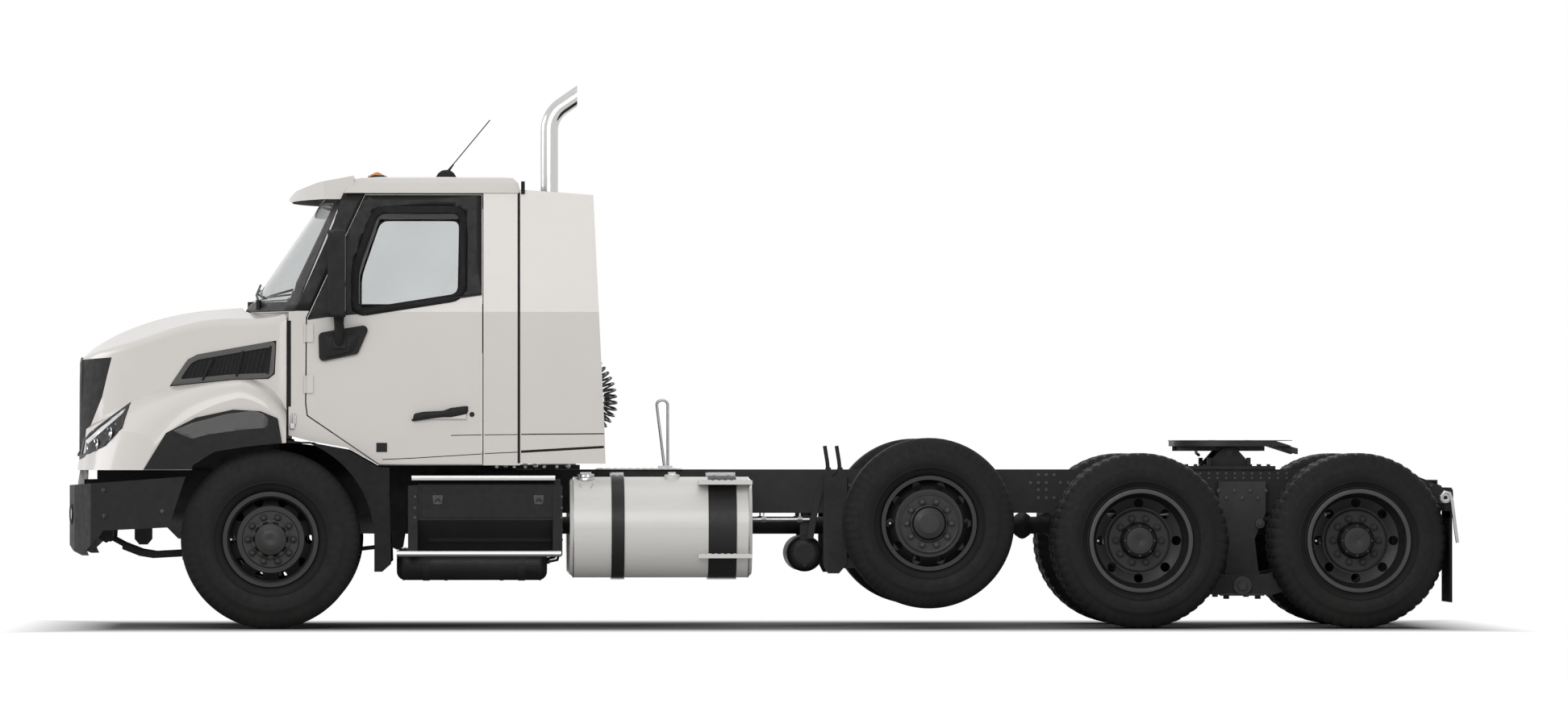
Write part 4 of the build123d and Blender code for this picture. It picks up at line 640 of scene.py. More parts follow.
def along(points, count):
    """Evenly spaced points and their distances along a polyline."""
    lengths = [0.0]
    for a, b in zip(points, points[1:]):
        lengths.append(lengths[-1] + (b - a).length)
    total, placed, segment = lengths[-1], [], 0
    for k in range(count):
        wanted = total * k / (count - 1)
        while segment < len(points) - 2 and lengths[segment + 1] < wanted:
            segment += 1
        share = (wanted - lengths[segment]) / (lengths[segment + 1] - lengths[segment])
        placed.append(points[segment].lerp(points[segment + 1], min(1.0, max(0.0, share))))
    return placed, total


# the coil, the plain run at each end and the points that it is built from
TURN_PITCH, COIL_R, STRAND_R = 0.034, 0.038, 0.0065
END_RUN, SPINE_POINTS, TURN_POINTS = 0.05, 1200, 20


def build_lines():
    for number, (y, z) in LINE_ENDS.items():
        spine, total = along(spline_points(f"line_spine_{number}", line_points(y, z)), SPINE_POINTS)
        turns = int((total - 2 * END_RUN - 0.04) / TURN_PITCH)
        helix, count = [], turns * TURN_POINTS
        across = LEFT
        for k in range(count + 1):
            share = k / count
            place = END_RUN + (total - 2 * END_RUN) * share
            index = min(len(spine) - 2, int(place / total * (len(spine) - 1)))
            tangent = (spine[index + 1] - spine[index]).normalized()
            up = tangent.cross(across).normalized()
            ease = min(1.0, min(share, 1 - share) * turns / 1.5)
            size = COIL_R * ease * (1 + 0.04 * sin(place * 31 + number))
            angle = tau * turns * share
            base = spine[index]
            helix.append(base + across * (size * cos(angle)) + up * (size * sin(angle)))
        plain = int(END_RUN / total * (SPINE_POINTS - 1))
        path = spine[:plain] + helix + spine[-plain:]
        made = Shape().tube(path, STRAND_R, 8).make(f"curly_line_{number}", LINE, "line_plastic", smooth=60)
        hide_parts(f"air_line_{number}")


def both_sides(shape, name, material, slot, body, **look):
    """One mesh per side, on the body that carries that side."""
    for side, sign in SIDES.items():
        one = Shape().add(shape.verts, shape.faces).to_side(sign)
        one.make(f"{name}_{side}", material, slot, body.format(side), **look)


def inset(points, amount):
    """The closed outline drawn in by an amount."""
    area = sum(a[0] * b[1] - b[0] * a[1] for a, b in zip(points, points[1:] + points[:1]))
    turn = 1 if area > 0 else -1
    moved = []
    for before, here, after in zip(points[-1:] + points[:-1], points, points[1:] + points[:1]):
        first = Vector((here[0] - before[0], here[1] - before[1])).normalized()
        second = Vector((after[0] - here[0], after[1] - here[1])).normalized()
        normal_a = Vector((-first.y, first.x)) * turn
        normal_b = Vector((-second.y, second.x)) * turn
        middle = (normal_a + normal_b).normalized()
        reach = amount / max(0.35, middle.dot(normal_a))
        moved.append((here[0] + middle.x * reach, here[1] + middle.y * reach))
    return moved


def rounded(points, radius, steps=5):
    """The closed outline with its corners rounded."""
    smooth = []
    for before, here, after in zip(points[-1:] + points[:-1], points, points[1:] + points[:1]):
        here, before, after = Vector(here), Vector(before), Vector(after)
        to_before, to_after = (before - here).normalized(), (after - here).normalized()
        reach = min(radius, (before - here).length * 0.45, (after - here).length * 0.45)
        start, end = here + to_before * reach, here + to_after * reach
        for k in range(steps + 1):
            t = k / steps
            smooth.append(tuple(start * (1 - t) ** 2 + here * (2 * t * (1 - t)) + end * t ** 2))
    return smooth


# outlines seen from the side: forward, up
DOOR_GLASS = [(-0.668, 2.621), (-1.194, 2.621), (-1.184, 2.095), (-0.540, 1.994), (-0.540, 2.250)]
INTAKE = [(0.643, 1.523), (0.526, 1.695), (0.466, 1.725), (-0.035, 1.811), (-0.025, 1.599), (0.015, 1.569),
    (0.233, 1.562)]
FLARE_UPPER = [(0.615, 1.243), (0.491, 1.293), (0.278, 1.348), (0.116, 1.369), (0.056, 1.358), (0.010, 1.322),
    (0.020, 1.262), (0.268, 1.237), (0.410, 1.214), (0.491, 1.190)]


# half width of the cab at its belt line and at its roof edge, the heights of the two, and the cab's back
CAB_HALF, ROOF_HALF, BELT_Z, ROOF_EDGE_Z = 1.150, 1.062, 1.990, 2.748
BACK_X = -1.5645
# section of the ribs on the cab's back: forward, across
RIB = [(BACK_X, -0.022), (BACK_X, 0.022), (BACK_X - 0.008, 0.012), (BACK_X - 0.008, -0.012)]
# where trim laid on the door's flat skin begins, just under it
SKIN = 1.1495


def cab_half(z):
    return CAB_HALF - max(0.0, z - BELT_Z) * (CAB_HALF - ROOF_HALF) / (ROOF_EDGE_Z - BELT_Z)


def crease(shape, start, end, low=SKIN, crest=0.002, tall=0.0035):
    """A fine raised line on a flat side, between two (forward, up) points."""
    (x0, z0), (x1, z1) = start, end
    shape.prism([at(x0, low, z0 - tall), at(x0, low, z0 + tall), at(x0, low + crest, z0)],
        (x1 - x0, 0, z1 - z0))


def build_doors():
    shut = surface_of("door_left", "door_window_left", "cab_shell")
    glass = rounded(DOOR_GLASS, 0.06)
    upper = [(-0.2285, 1.945), (-0.5905, 2.7255), (-1.3235, 2.7255), (-1.3235, 2.100)]
    shape = drape(shut, upper, 0.0008, hole=inset(glass, -0.034))
    for vert in shape.verts:
        vert.y = cab_half(vert.z) + 0.0022
    both_sides(shape, "door_blackout", TRIM, "black_plastic", "door_assembly_{}", smooth=30, thick=0.002)
    # stepped rubber round the pane: an outer lip and an inner channel
    for name, outer, inner, lift, depth in (("pane_lip", -0.036, 0.008, 0.0, 0.012),
            ("pane_channel", -0.010, 0.012, -0.014, 0.012)):
        frame_of = drape(surface_of("door_left"), inset(glass, outer), lift,
            hole=inset(glass, inner), cell=0.1)
        for vert in frame_of.verts:
            vert.y = cab_half(vert.z) + lift + 0.003
        both_sides(frame_of, name, SEAL, "black_plastic", "door_assembly_{}", smooth=30, thick=depth)
    # belt moulding under the pane, handle, key, vent square and crease lines
    belt = Shape().prism([at(-0.232, y, z) for y, z in ((1.1485, 1.938), (1.1485, 1.952), (1.1535, 1.950),
        (1.1535, 1.940))], (-1.092, 0, 0.158))
    both_sides(belt, "belt_moulding", TRIM, "black_plastic", "door_assembly_{}")
    pull, sections = Shape(), []
    # from the handle's front foot to its rear foot: forward, low, high, reach out
    for x, low, high, out in ((-0.884, 1.304, 1.328, 0.012), (-0.900, 1.302, 1.352, 0.030),
            (-0.960, 1.312, 1.364, 0.038), (-1.080, 1.326, 1.370, 0.040), (-1.130, 1.326, 1.388, 0.038),
            (-1.225, 1.344, 1.400, 0.028), (-1.238, 1.366, 1.398, 0.010)):
        sections.append([at(x, 1.152 + reach, z) for reach, z in ((0, low), (0, high),
            (out * 0.8, high - 0.004), (out, (low + high) / 2), (out * 0.8, low + 0.004))])
    pull.rings(sections)
    both_sides(pull, "door_pull", BLACK_PLASTIC, "black_plastic", "door_assembly_{}", bevel=0.003, smooth=40)
    small = Shape()
    small.rod(at(-1.262, 1.149, 1.346), at(-1.262, 1.1535, 1.346), 0.016, 24)
    small.box(at(-0.730, 1.149, 1.110), at(-0.662, 1.1535, 1.168))
    both_sides(small, "door_key_and_vent", TRIM, "black_plastic", "door_assembly_{}", bevel=0.001)
    creases = Shape()
    for points in ([(-0.700, 1.063), (-0.900, 1.072), (-1.322, 1.098)], [(-1.130, 1.214), (-1.322, 1.218)]):
        for start, end in zip(points, points[1:]):
            crease(creases, start, end)
    both_sides(creases, "door_crease", SEAL, "black_plastic", "door_assembly_{}")


def build_cab():
    cab = surface_of("cab_shell", "cab_glass")
    black = Shape()
    # pillar: from the door's front edge round the corner to the screen, one row of points per height
    rows = []
    for k in range(13):
        z = 1.996 + 0.742 * k / 12
        centre = at(-0.223 - (z - 1.945) * 0.464, cab_half(z) - 0.13, z)
        row = []
        for turn in range(0, 91, 9):
            out = Vector((sin(radians(turn)), cos(radians(turn)), 0))
            hit, *_ = cab.ray_cast(centre + out, -out)
            row.append(hit + out * 0.003 if hit else centre + out * 0.13)
        rows.append(row)
    wrap = Shape().rings(rows, closed=False, cap=False)
    black.add(wrap.verts, wrap.faces)
    # screen surround, laid on from the front
    outer = [(-1.146, 1.994), (1.146, 1.994), (1.062, 2.738), (-1.062, 2.738)]
    hole = [(-1.005, 2.070), (0.0, 2.058), (1.005, 2.070), (0.917, 2.664), (0.0, 2.682), (-0.917, 2.664)]
    front_part = drape(cab, outer, 0.0015, hole=rounded(hole, 0.05), cell=0.06, toward=BACKWARD, start=AHEAD)
    black.add(front_part.verts, front_part.faces)
    black.add([(v.x, -v.y, v.z) for v in wrap.verts], wrap.faces).make("pillar_blackout", TRIM,
        "black_plastic", smooth=40, thick=0.002)
    # drip rails along the roof's edges
    low, high = 2.738, 2.752
    near, far = cab_half(low) - 0.004, cab_half(low) + 0.012
    rails = Shape().prism([at(-0.47, y, z) for y, z in ((near, low), (far, low), (far, high), (near, high))],
        (-1.09, 0, 0))
    rails.mirrored().make("drip_rails", PAINT, "body_paint", bevel=0.002)
    rear = [(-0.520, 2.020), (0.520, 2.020), (0.520, 2.470), (-0.520, 2.470)]
    back = drape(cab, inset(rounded(rear, 0.05), -0.022), 0.003, hole=inset(rounded(rear, 0.05), 0.010),
        cell=0.1, toward=FORWARD, start=BEHIND)
    for vert in back.verts:
        vert.x = STEER_X - 1.566
    back.make("rear_pane_rubber", SEAL, "black_plastic", thick=0.008)
    ribs = Shape()
    for y in (-0.95, -0.75, -0.60, 0.60):
        ribs.prism([at(x, y + dy, 1.10) for x, dy in RIB], (0, 0, 1.55 if y > -0.7 else 0.3))
    for z in (1.30, 1.55, 1.80):
        ribs.prism([at(x, -0.52, z + dz) for x, dz in RIB], (0, 1.04, 0))
    ribs.make("back_ribs", PAINT, "body_paint", bevel=0.002)
    grabs = Shape()
    for y in (0.62, 1.05):
        grabs.tube([at(-1.566, y, 1.30), at(-1.61, y, 1.30), at(-1.625, y, 1.33), at(-1.625, y, 1.77),
            at(-1.61, y, 1.80), at(-1.566, y, 1.80)], 0.012, 12)
    grabs.make("back_grab_rails", STEEL, "stack_metal")
    # strips between cab, hood and fairing: forward, width, low, high
    strips = Shape()
    for x, wide, low, high in ((-0.1145, 0.025, 1.395, 1.935), (-1.5560, 0.016, 1.04, 2.745)):
        steps = [low, BELT_Z, high] if high > BELT_Z else [low, high]
        for a, b in zip(steps, steps[1:]):
            strips.rings([[at(x + dx * wide, cab_half(h) + out, h) for dx, out in ((-0.5, -0.012),
                (0.5, -0.012), (0.5, 0.0025), (-0.5, 0.0025))] for h in (a, b)])
    strips.box(at(-1.594, 1.050, 2.733), at(-1.570, 1.082, 2.812))
    strips.mirrored().make("body_joint_strips", SEAL, "black_plastic", bevel=0.001)
    # two wipers, an arm and a blade each, from foot to tip across the screen
    wipers = Shape()
    for foot, tip in ((0.62, -0.10), (-0.30, -0.98)):
        arm = [(foot, 2.000), ((foot * 2 + tip) / 3, 2.045), (tip, 2.115)]
        placed = []
        for y, z in arm:
            hit, normal, *_ = cab.ray_cast(Vector((AHEAD, y, z + 0.045)), BACKWARD)
            placed.append(hit + normal * 0.028 if hit else at(0.1, y, z))
        wipers.tube(placed, 0.0075, 8)
        blade = []
        for k in range(9):
            share = k / 8
            y, z = foot * 0.55 + tip * 0.45 + (tip - foot) * (share - 0.35) * 1.05, 2.085 + 0.055 * share
            hit, normal, *_ = cab.ray_cast(Vector((AHEAD, y, z)), BACKWARD)
            if hit:
                blade.append(hit + normal * 0.010)
        wipers.tube(blade, 0.006, 6)
        wipers.rod(placed[0] - Vector((0, 0, 0.05)), placed[0] + Vector((0, 0, 0.012)), 0.018, 16)
    wipers.make("wipers", TRIM, "black_plastic", smooth=40)
    # fender-to-cab latch, seen at the hood's rear foot
    latch = Shape()
    latch.box(at(-0.160, 1.149, 1.285), at(-0.128, 1.166, 1.345))
    latch.rod(at(-0.144, 1.160, 1.350), at(-0.144, 1.160, 1.270), 0.011, 12)
    latch.box(at(-0.150, 1.158, 1.255), at(-0.120, 1.172, 1.290))
    latch.mirrored().make("hood_latches", STEEL, "stack_metal", bevel=0.003)
    lower = Shape()
    crease(lower, (-1.340, 1.100), (-1.560, 1.110))
    crease(lower, (-1.340, 1.218), (-1.560, 1.220))
    crease(lower, (-1.570, 1.221), (-2.090, 1.225), crest=0.0025, tall=0.0045)
    crease(lower, (-1.570, 1.112), (-2.090, 1.142), crest=0.0025, tall=0.010)
    lower.mirrored().make("panel_creases", SEAL, "black_plastic")


def build_roof():
    lamps, lenses = Shape(), Shape()
    for y in (-0.64, -0.32, 0.0, 0.32, 0.64):
        x = -0.640 - abs(y) * 0.06
        crown = 2.843
        base = [(0.062, 0.0), (0.058, 0.016), (0.030, 0.030), (-0.020, 0.026), (-0.060, 0.008), (-0.064, 0.0)]
        lamps.rings([[at(x + dx, y + sy, crown - 0.004 + dz * (1 - abs(sy) * 9)) for dx, dz in base]
            for sy in (-0.032, -0.022, 0.0, 0.022, 0.032)])
        lenses.rings([[at(x + dx, y + sy, crown + 0.018 + dz) for dx, dz in ((0.042, -0.002), (0.038, 0.014),
            (0.012, 0.020), (-0.014, 0.010), (-0.016, -0.002))] for sy in (-0.024, -0.015, 0.015, 0.024)])
    lamps.make("roof_lamp_bases", TRIM, "black_plastic", bevel=0.002)
    lenses.make("roof_lamp_lenses", AMBER, "amber_lamp", bevel=0.002)
    foot = Shape()
    x, y, z = -1.100, 0.250, 2.842
    foot.rings([[at(x + dx * wide, y + dy * wide, z + up) for dx, dy in ((0.07, -0.02), (0.07, 0.02),
        (0.03, 0.032), (-0.05, 0.032), (-0.068, 0.018), (-0.068, -0.018), (-0.05, -0.032), (0.03, -0.032))]
        for up, wide in ((0.0, 1.0), (0.018, 0.95), (0.044, 0.72), (0.060, 0.40), (0.064, 0.12))])
    foot.tube([at(-1.110, y, 2.900), at(-1.378, y, 3.224)], 0.0036, 8)
    foot.rod(at(-1.112, y, 2.898), at(-1.146, y, 2.942), 0.009, 12, 0.005)
    made = foot.make("antenna", TRIM, "black_plastic", bevel=0.001, smooth=50)
    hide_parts("roof_fittings")


def build_mirrors():
    for side, sign in SIDES.items():
        body = f"door_assembly_{side}"
        head, sections = Shape(), []
        # cross-sections up the mirror head: height, front, back, inner, outer
        for z, front, back, inner, outer in ((1.957, -0.385, -0.452, 1.236, 1.452),
                (1.965, -0.366, -0.466, 1.214, 1.468), (2.02, -0.361, -0.470, 1.211, 1.473),
                (2.30, -0.364, -0.470, 1.214, 1.477), (2.44, -0.370, -0.470, 1.220, 1.478),
                (2.488, -0.386, -0.466, 1.232, 1.468), (2.500, -0.402, -0.455, 1.250, 1.448)):
            sections.append([at(front + dx, y, z) for dx, y in ((-0.014, inner), (0, inner + 0.03),
                (0.002, (inner + outer) / 2), (0, outer - 0.03), (-0.014, outer), (back - front, outer),
                (back - front, inner))])
        head.rings(sections)
        head.to_side(sign).make(f"mirror_head_{side}", BLACK_PLASTIC, "black_plastic", body, bevel=0.008,
            segments=3, smooth=50)
        arm = Shape()
        arm.tube([at(-0.430, 1.160, 1.770), at(-0.432, 1.200, 1.800), at(-0.430, 1.235, 1.880),
            at(-0.425, 1.262, 1.965)], 0.030, 16)
        arm.rings([[at(x, y, z) for x, z in rounded(foot, 0.03)] for y, foot in ((1.1765,
            [(-0.330, 1.690), (-0.520, 1.735), (-0.565, 1.860), (-0.330, 1.842)]),
            (1.188, [(-0.350, 1.706), (-0.508, 1.746), (-0.545, 1.842), (-0.350, 1.826)]))])
        for x, z in ((-0.325, 1.700), (-0.325, 1.835), (-0.540, 1.750), (-0.590, 1.880)):
            arm.rod(at(x, 1.170, z), at(x, 1.1785, z), 0.009, 12)
        arm.to_side(sign).make(f"mirror_arm_{side}", BLACK_PLASTIC, "black_plastic", body,
            bevel=0.002, smooth=50)
        panes = Shape()
        for low, high in ((2.165, 2.470), (1.985, 2.150)):
            panes.rings([[at(x, y, z) for y, z in rounded([(1.238, low), (1.452, low), (1.454, high),
                (1.240, high)], 0.025)] for x in (-0.4650, -0.4706)])
        panes.to_side(sign).make(f"mirror_glass_{side}", MIRROR, "glass", body, bevel=0.0006)


# the grille's blades: their pitch, where they stand when nothing backs them, and the mesh behind
BLADE_PITCH, NOSE_X, MESH_X = 0.0285, 1.196, 1.120


def build_hood():
    hood = surface_of("hood_shell", "grilles")
    mesh_part = drape(surface_of("grilles", "hood_shell"), inset(INTAKE, 0.030), 0.007, cell=0.03)
    both_sides(mesh_part, "intake_mesh", MESH, "black_plastic", "hood", smooth=40, thick=0.003)
    ring = drape(hood, rounded(inset(INTAKE, 0.004), 0.03), 0.006, hole=rounded(inset(INTAKE, 0.036),
        0.02), cell=0.05)
    both_sides(ring, "intake_frame", BEZEL_GREY_AND_PAINTED_HIGHLIGHT, "black_plastic", "hood", smooth=40, bevel=0.003, thick=0.014)
    bars = Shape()
    for points in ([(0.430, 1.560), (0.365, 1.700)], [(0.215, 1.585), (0.175, 1.745)],
            [(0.020, 1.600), (0.000, 1.775)]):
        bar = line_on(hood, points, 0.011, lift=0.008, steps=8)
        bars.add(bar.verts, bar.faces)
    both_sides(bars, "intake_bars", TRIM, "black_plastic", "hood")
    # nose grille: blades across the mouth, mesh behind, frame round it; the mouth is (left, up)
    front = surface_of("grilles", "hood_shell")
    mouth = [(-0.372, 1.118), (0.372, 1.118), (0.318, 1.672), (-0.318, 1.672)]
    edge = drape(front, inset(rounded(mouth, 0.05), -0.034), 0.006, hole=rounded(mouth, 0.05), cell=0.05,
        toward=BACKWARD, start=FAR_AHEAD)
    edge.make("grille_frame", BEZEL_GREY_AND_PAINTED_HIGHLIGHT, "black_plastic", "hood", bevel=0.004, thick=0.014)
    blades = Shape()
    for row in range(19):
        z = 1.135 + row * BLADE_PITCH
        half = 0.352 - (z - mouth[0][1]) * 0.10
        points = []
        for k in range(13):
            y = half * (k / 6 - 1)
            hit, normal, *_ = front.ray_cast(Vector((FAR_AHEAD, y, z)), BACKWARD)
            points.append(at(NOSE_X, y, z) if hit is None or hit.x < STEER_X + MESH_X else hit)
        blades.rings([[p + Vector((0.002, 0, 0.004)), p + Vector((-0.030, 0, 0.010)),
            p + Vector((-0.030, 0, 0.003)), p + Vector((0.002, 0, -0.004))] for p in points])
    for y in (-0.21, -0.07, 0.07, 0.21):
        blades.box(at(1.165, y - 0.006, 1.125), at(1.205, y + 0.006, 1.665))
    blades.make("grille_blades", TRIM, "black_plastic", "hood", bevel=0.0012)
    backing = Shape().box(at(MESH_X, -0.345, 1.125), at(MESH_X + 0.004, 0.345, 1.66))
    made = backing.make("grille_mesh", MESH, "black_plastic", "hood", bevel=0.0005)
    # the flare's upper face is painted a lighter grey, a painted highlight where the light catches it over
    # its crease
    upper = drape(surface_of("fender_flares"), rounded(FLARE_UPPER, 0.02), 0.002, cell=0.04)
    both_sides(upper, "flare_upper_face", BEZEL_GREY_AND_PAINTED_HIGHLIGHT, "black_plastic", "hood", smooth=40, thick=0.002)
    lamps_and_lips(surface_of("hood_shell", "headlamps", "grilles"))


# outlines of the headlamp and of its bright blade: forward, up
LAMP = [(1.214, 1.072), (1.189, 1.190), (0.893, 1.412), (0.935, 1.262), (1.042, 1.152)]
BLADE = [(1.188, 1.178), (0.893, 1.412), (0.925, 1.345), (1.030, 1.252), (1.150, 1.148)]


def lamps_and_lips(body):
    bezel = drape(body, inset(LAMP, -0.004), 0.0025, hole=inset(LAMP, 0.012), cell=0.04)
    both_sides(bezel, "headlamp_bezel", TRIM, "black_plastic", "hood", smooth=40, bevel=0.001, thick=0.006)
    # bowls and lamps under the cover, pushed in from the fender's face: forward, up, radius
    bowls, bulbs = Shape(), Shape()
    for x, z, size in ((1.105, 1.152, 0.044), (1.020, 1.222, 0.046), (1.165, 1.128, 0.024)):
        hit, normal, *_ = body.ray_cast(at(x, BESIDE, z), INWARD)
        if hit is None:
            continue
        outward = (normal + Vector((0.9, 0, 0))).normalized()
        if normal.dot(LEFT) < 0:
            outward = (-normal + Vector((0.9, 0, 0))).normalized()
        seat = hit + Vector((0, 0.004, 0))
        bowls.lathe(seat, outward, [(-0.030, 0.012), (-0.024, size * 0.55), (-0.010, size * 0.9),
            (-0.002, size), (0.001, size * 1.04), (-0.004, size * 1.06)], 32)
        bulbs.lathe(seat, outward, [(-0.024, 0.0), (-0.018, size * 0.30), (-0.008, size * 0.44),
            (-0.004, size * 0.30), (0.0, 0.0)], 24)
    both_sides(bowls, "headlamp_bowls", REFLECTOR, "lamp_glass", "hood", smooth=60)
    both_sides(bulbs, "headlamp_projectors", CLEAR, "lamp_glass", "hood", smooth=60)
    strip = drape(body, inset(BLADE, 0.010), 0.003, cell=0.03)
    both_sides(strip, "headlamp_blade", CLEAR, "lamp_glass", "hood", smooth=40, bevel=0.001, thick=0.005)
    ticks = Shape()
    for x, z in ((1.120, 1.215), (1.050, 1.270), (0.985, 1.325)):
        bar = line_on(body, [(x, z), (x - 0.012, z - 0.045)], 0.004, lift=-0.004, steps=6)
        ticks.add(bar.verts, bar.faces)
    both_sides(ticks, "headlamp_ribs", REFLECTOR, "lamp_glass", "hood")


def build_bumper():
    face = surface_of("bumper")
    bolts = Shape()
    for x, z in ((1.047, 0.870), (1.042, 0.709), (0.678, 0.739)):
        hit, normal, *_ = face.ray_cast(at(x, BESIDE, z), INWARD)
        if hit:
            outward = normal if normal.y > 0 else -normal
            bolts.rod(hit - outward * 0.002, hit + outward * 0.006, 0.016, 20, 0.013)
            bolts.hexagon(hit + outward * 0.005, outward, 0.009, 0.007)
    bolts.mirrored().make("bumper_bolts", RIM, "engine_metal", bevel=0.001)
    hooks = Shape()
    for y in (-0.300, 0.300):
        hooks.tube([at(1.225, y - 0.045, 0.735), at(1.262, y - 0.045, 0.735), at(1.276, y - 0.030, 0.735),
            at(1.2785, y, 0.735), at(1.276, y + 0.030, 0.735), at(1.262, y + 0.045, 0.735),
            at(1.225, y + 0.045, 0.735)], 0.013, 12)
        rim = [(y - 0.078, 0.682), (y + 0.078, 0.682), (y + 0.078, 0.788), (y - 0.078, 0.788)]
        inner = [(y - 0.066, 0.694), (y + 0.066, 0.694), (y + 0.066, 0.776), (y - 0.066, 0.776)]
        loops = [[at(x, py, pz) for py, pz in rounded(line, 0.015)] for x, line in ((1.279, rim),
            (1.284, rim), (1.284, inner), (1.279, inner))]
        hooks.rings(loops + [loops[0]], cap=False)
    hooks.make("tow_eyes", BLACK_METAL, "black_metal", bevel=0.0008)
    plate = Shape().box(at(1.280, -0.155, 0.700), at(1.283, 0.155, 0.780))
    plate.make("blank_plate", TANK, "tank_metal", bevel=0.0012)
    treads = Shape()
    for row in range(9):
        y = -0.40 + row * 0.1
        treads.box(at(1.150, y - 0.036, 0.8995), at(1.245, y + 0.036, 0.9045))
    for x, y in ((1.150, -0.62), (1.150, 0.62), (1.105, -0.88), (1.105, 0.88)):
        treads.box(at(x, y - 0.07, 0.9005), at(x + 0.07, y + 0.07, 0.9045))
    treads.make("bumper_step_pads", SEAL, "black_plastic", bevel=0.0015)
    fogs, lenses = Shape(), Shape()
    for y in (-0.66, 0.66):
        hit, normal, *_ = face.ray_cast(Vector((FAR_AHEAD, y, 0.720)), BACKWARD)
        outward = FORWARD if hit is None else (normal if normal.x > 0 else -normal)
        fogs.lathe(hit, outward, [(-0.002, 0.066), (0.008, 0.064), (0.010, 0.058), (0.004, 0.052),
            (-0.001, 0.050)], 40)
        lenses.lathe(hit, outward, [(-0.001, 0.052), (0.003, 0.050), (0.0055, 0.030), (0.0065, 0.0)], 40)
    fogs.make("fog_lamp_rims", TRIM, "black_plastic", smooth=40)
    lenses.make("fog_lamp_lenses", CLEAR, "lamp_glass", smooth=60)


RAIL_FACE = 0.432


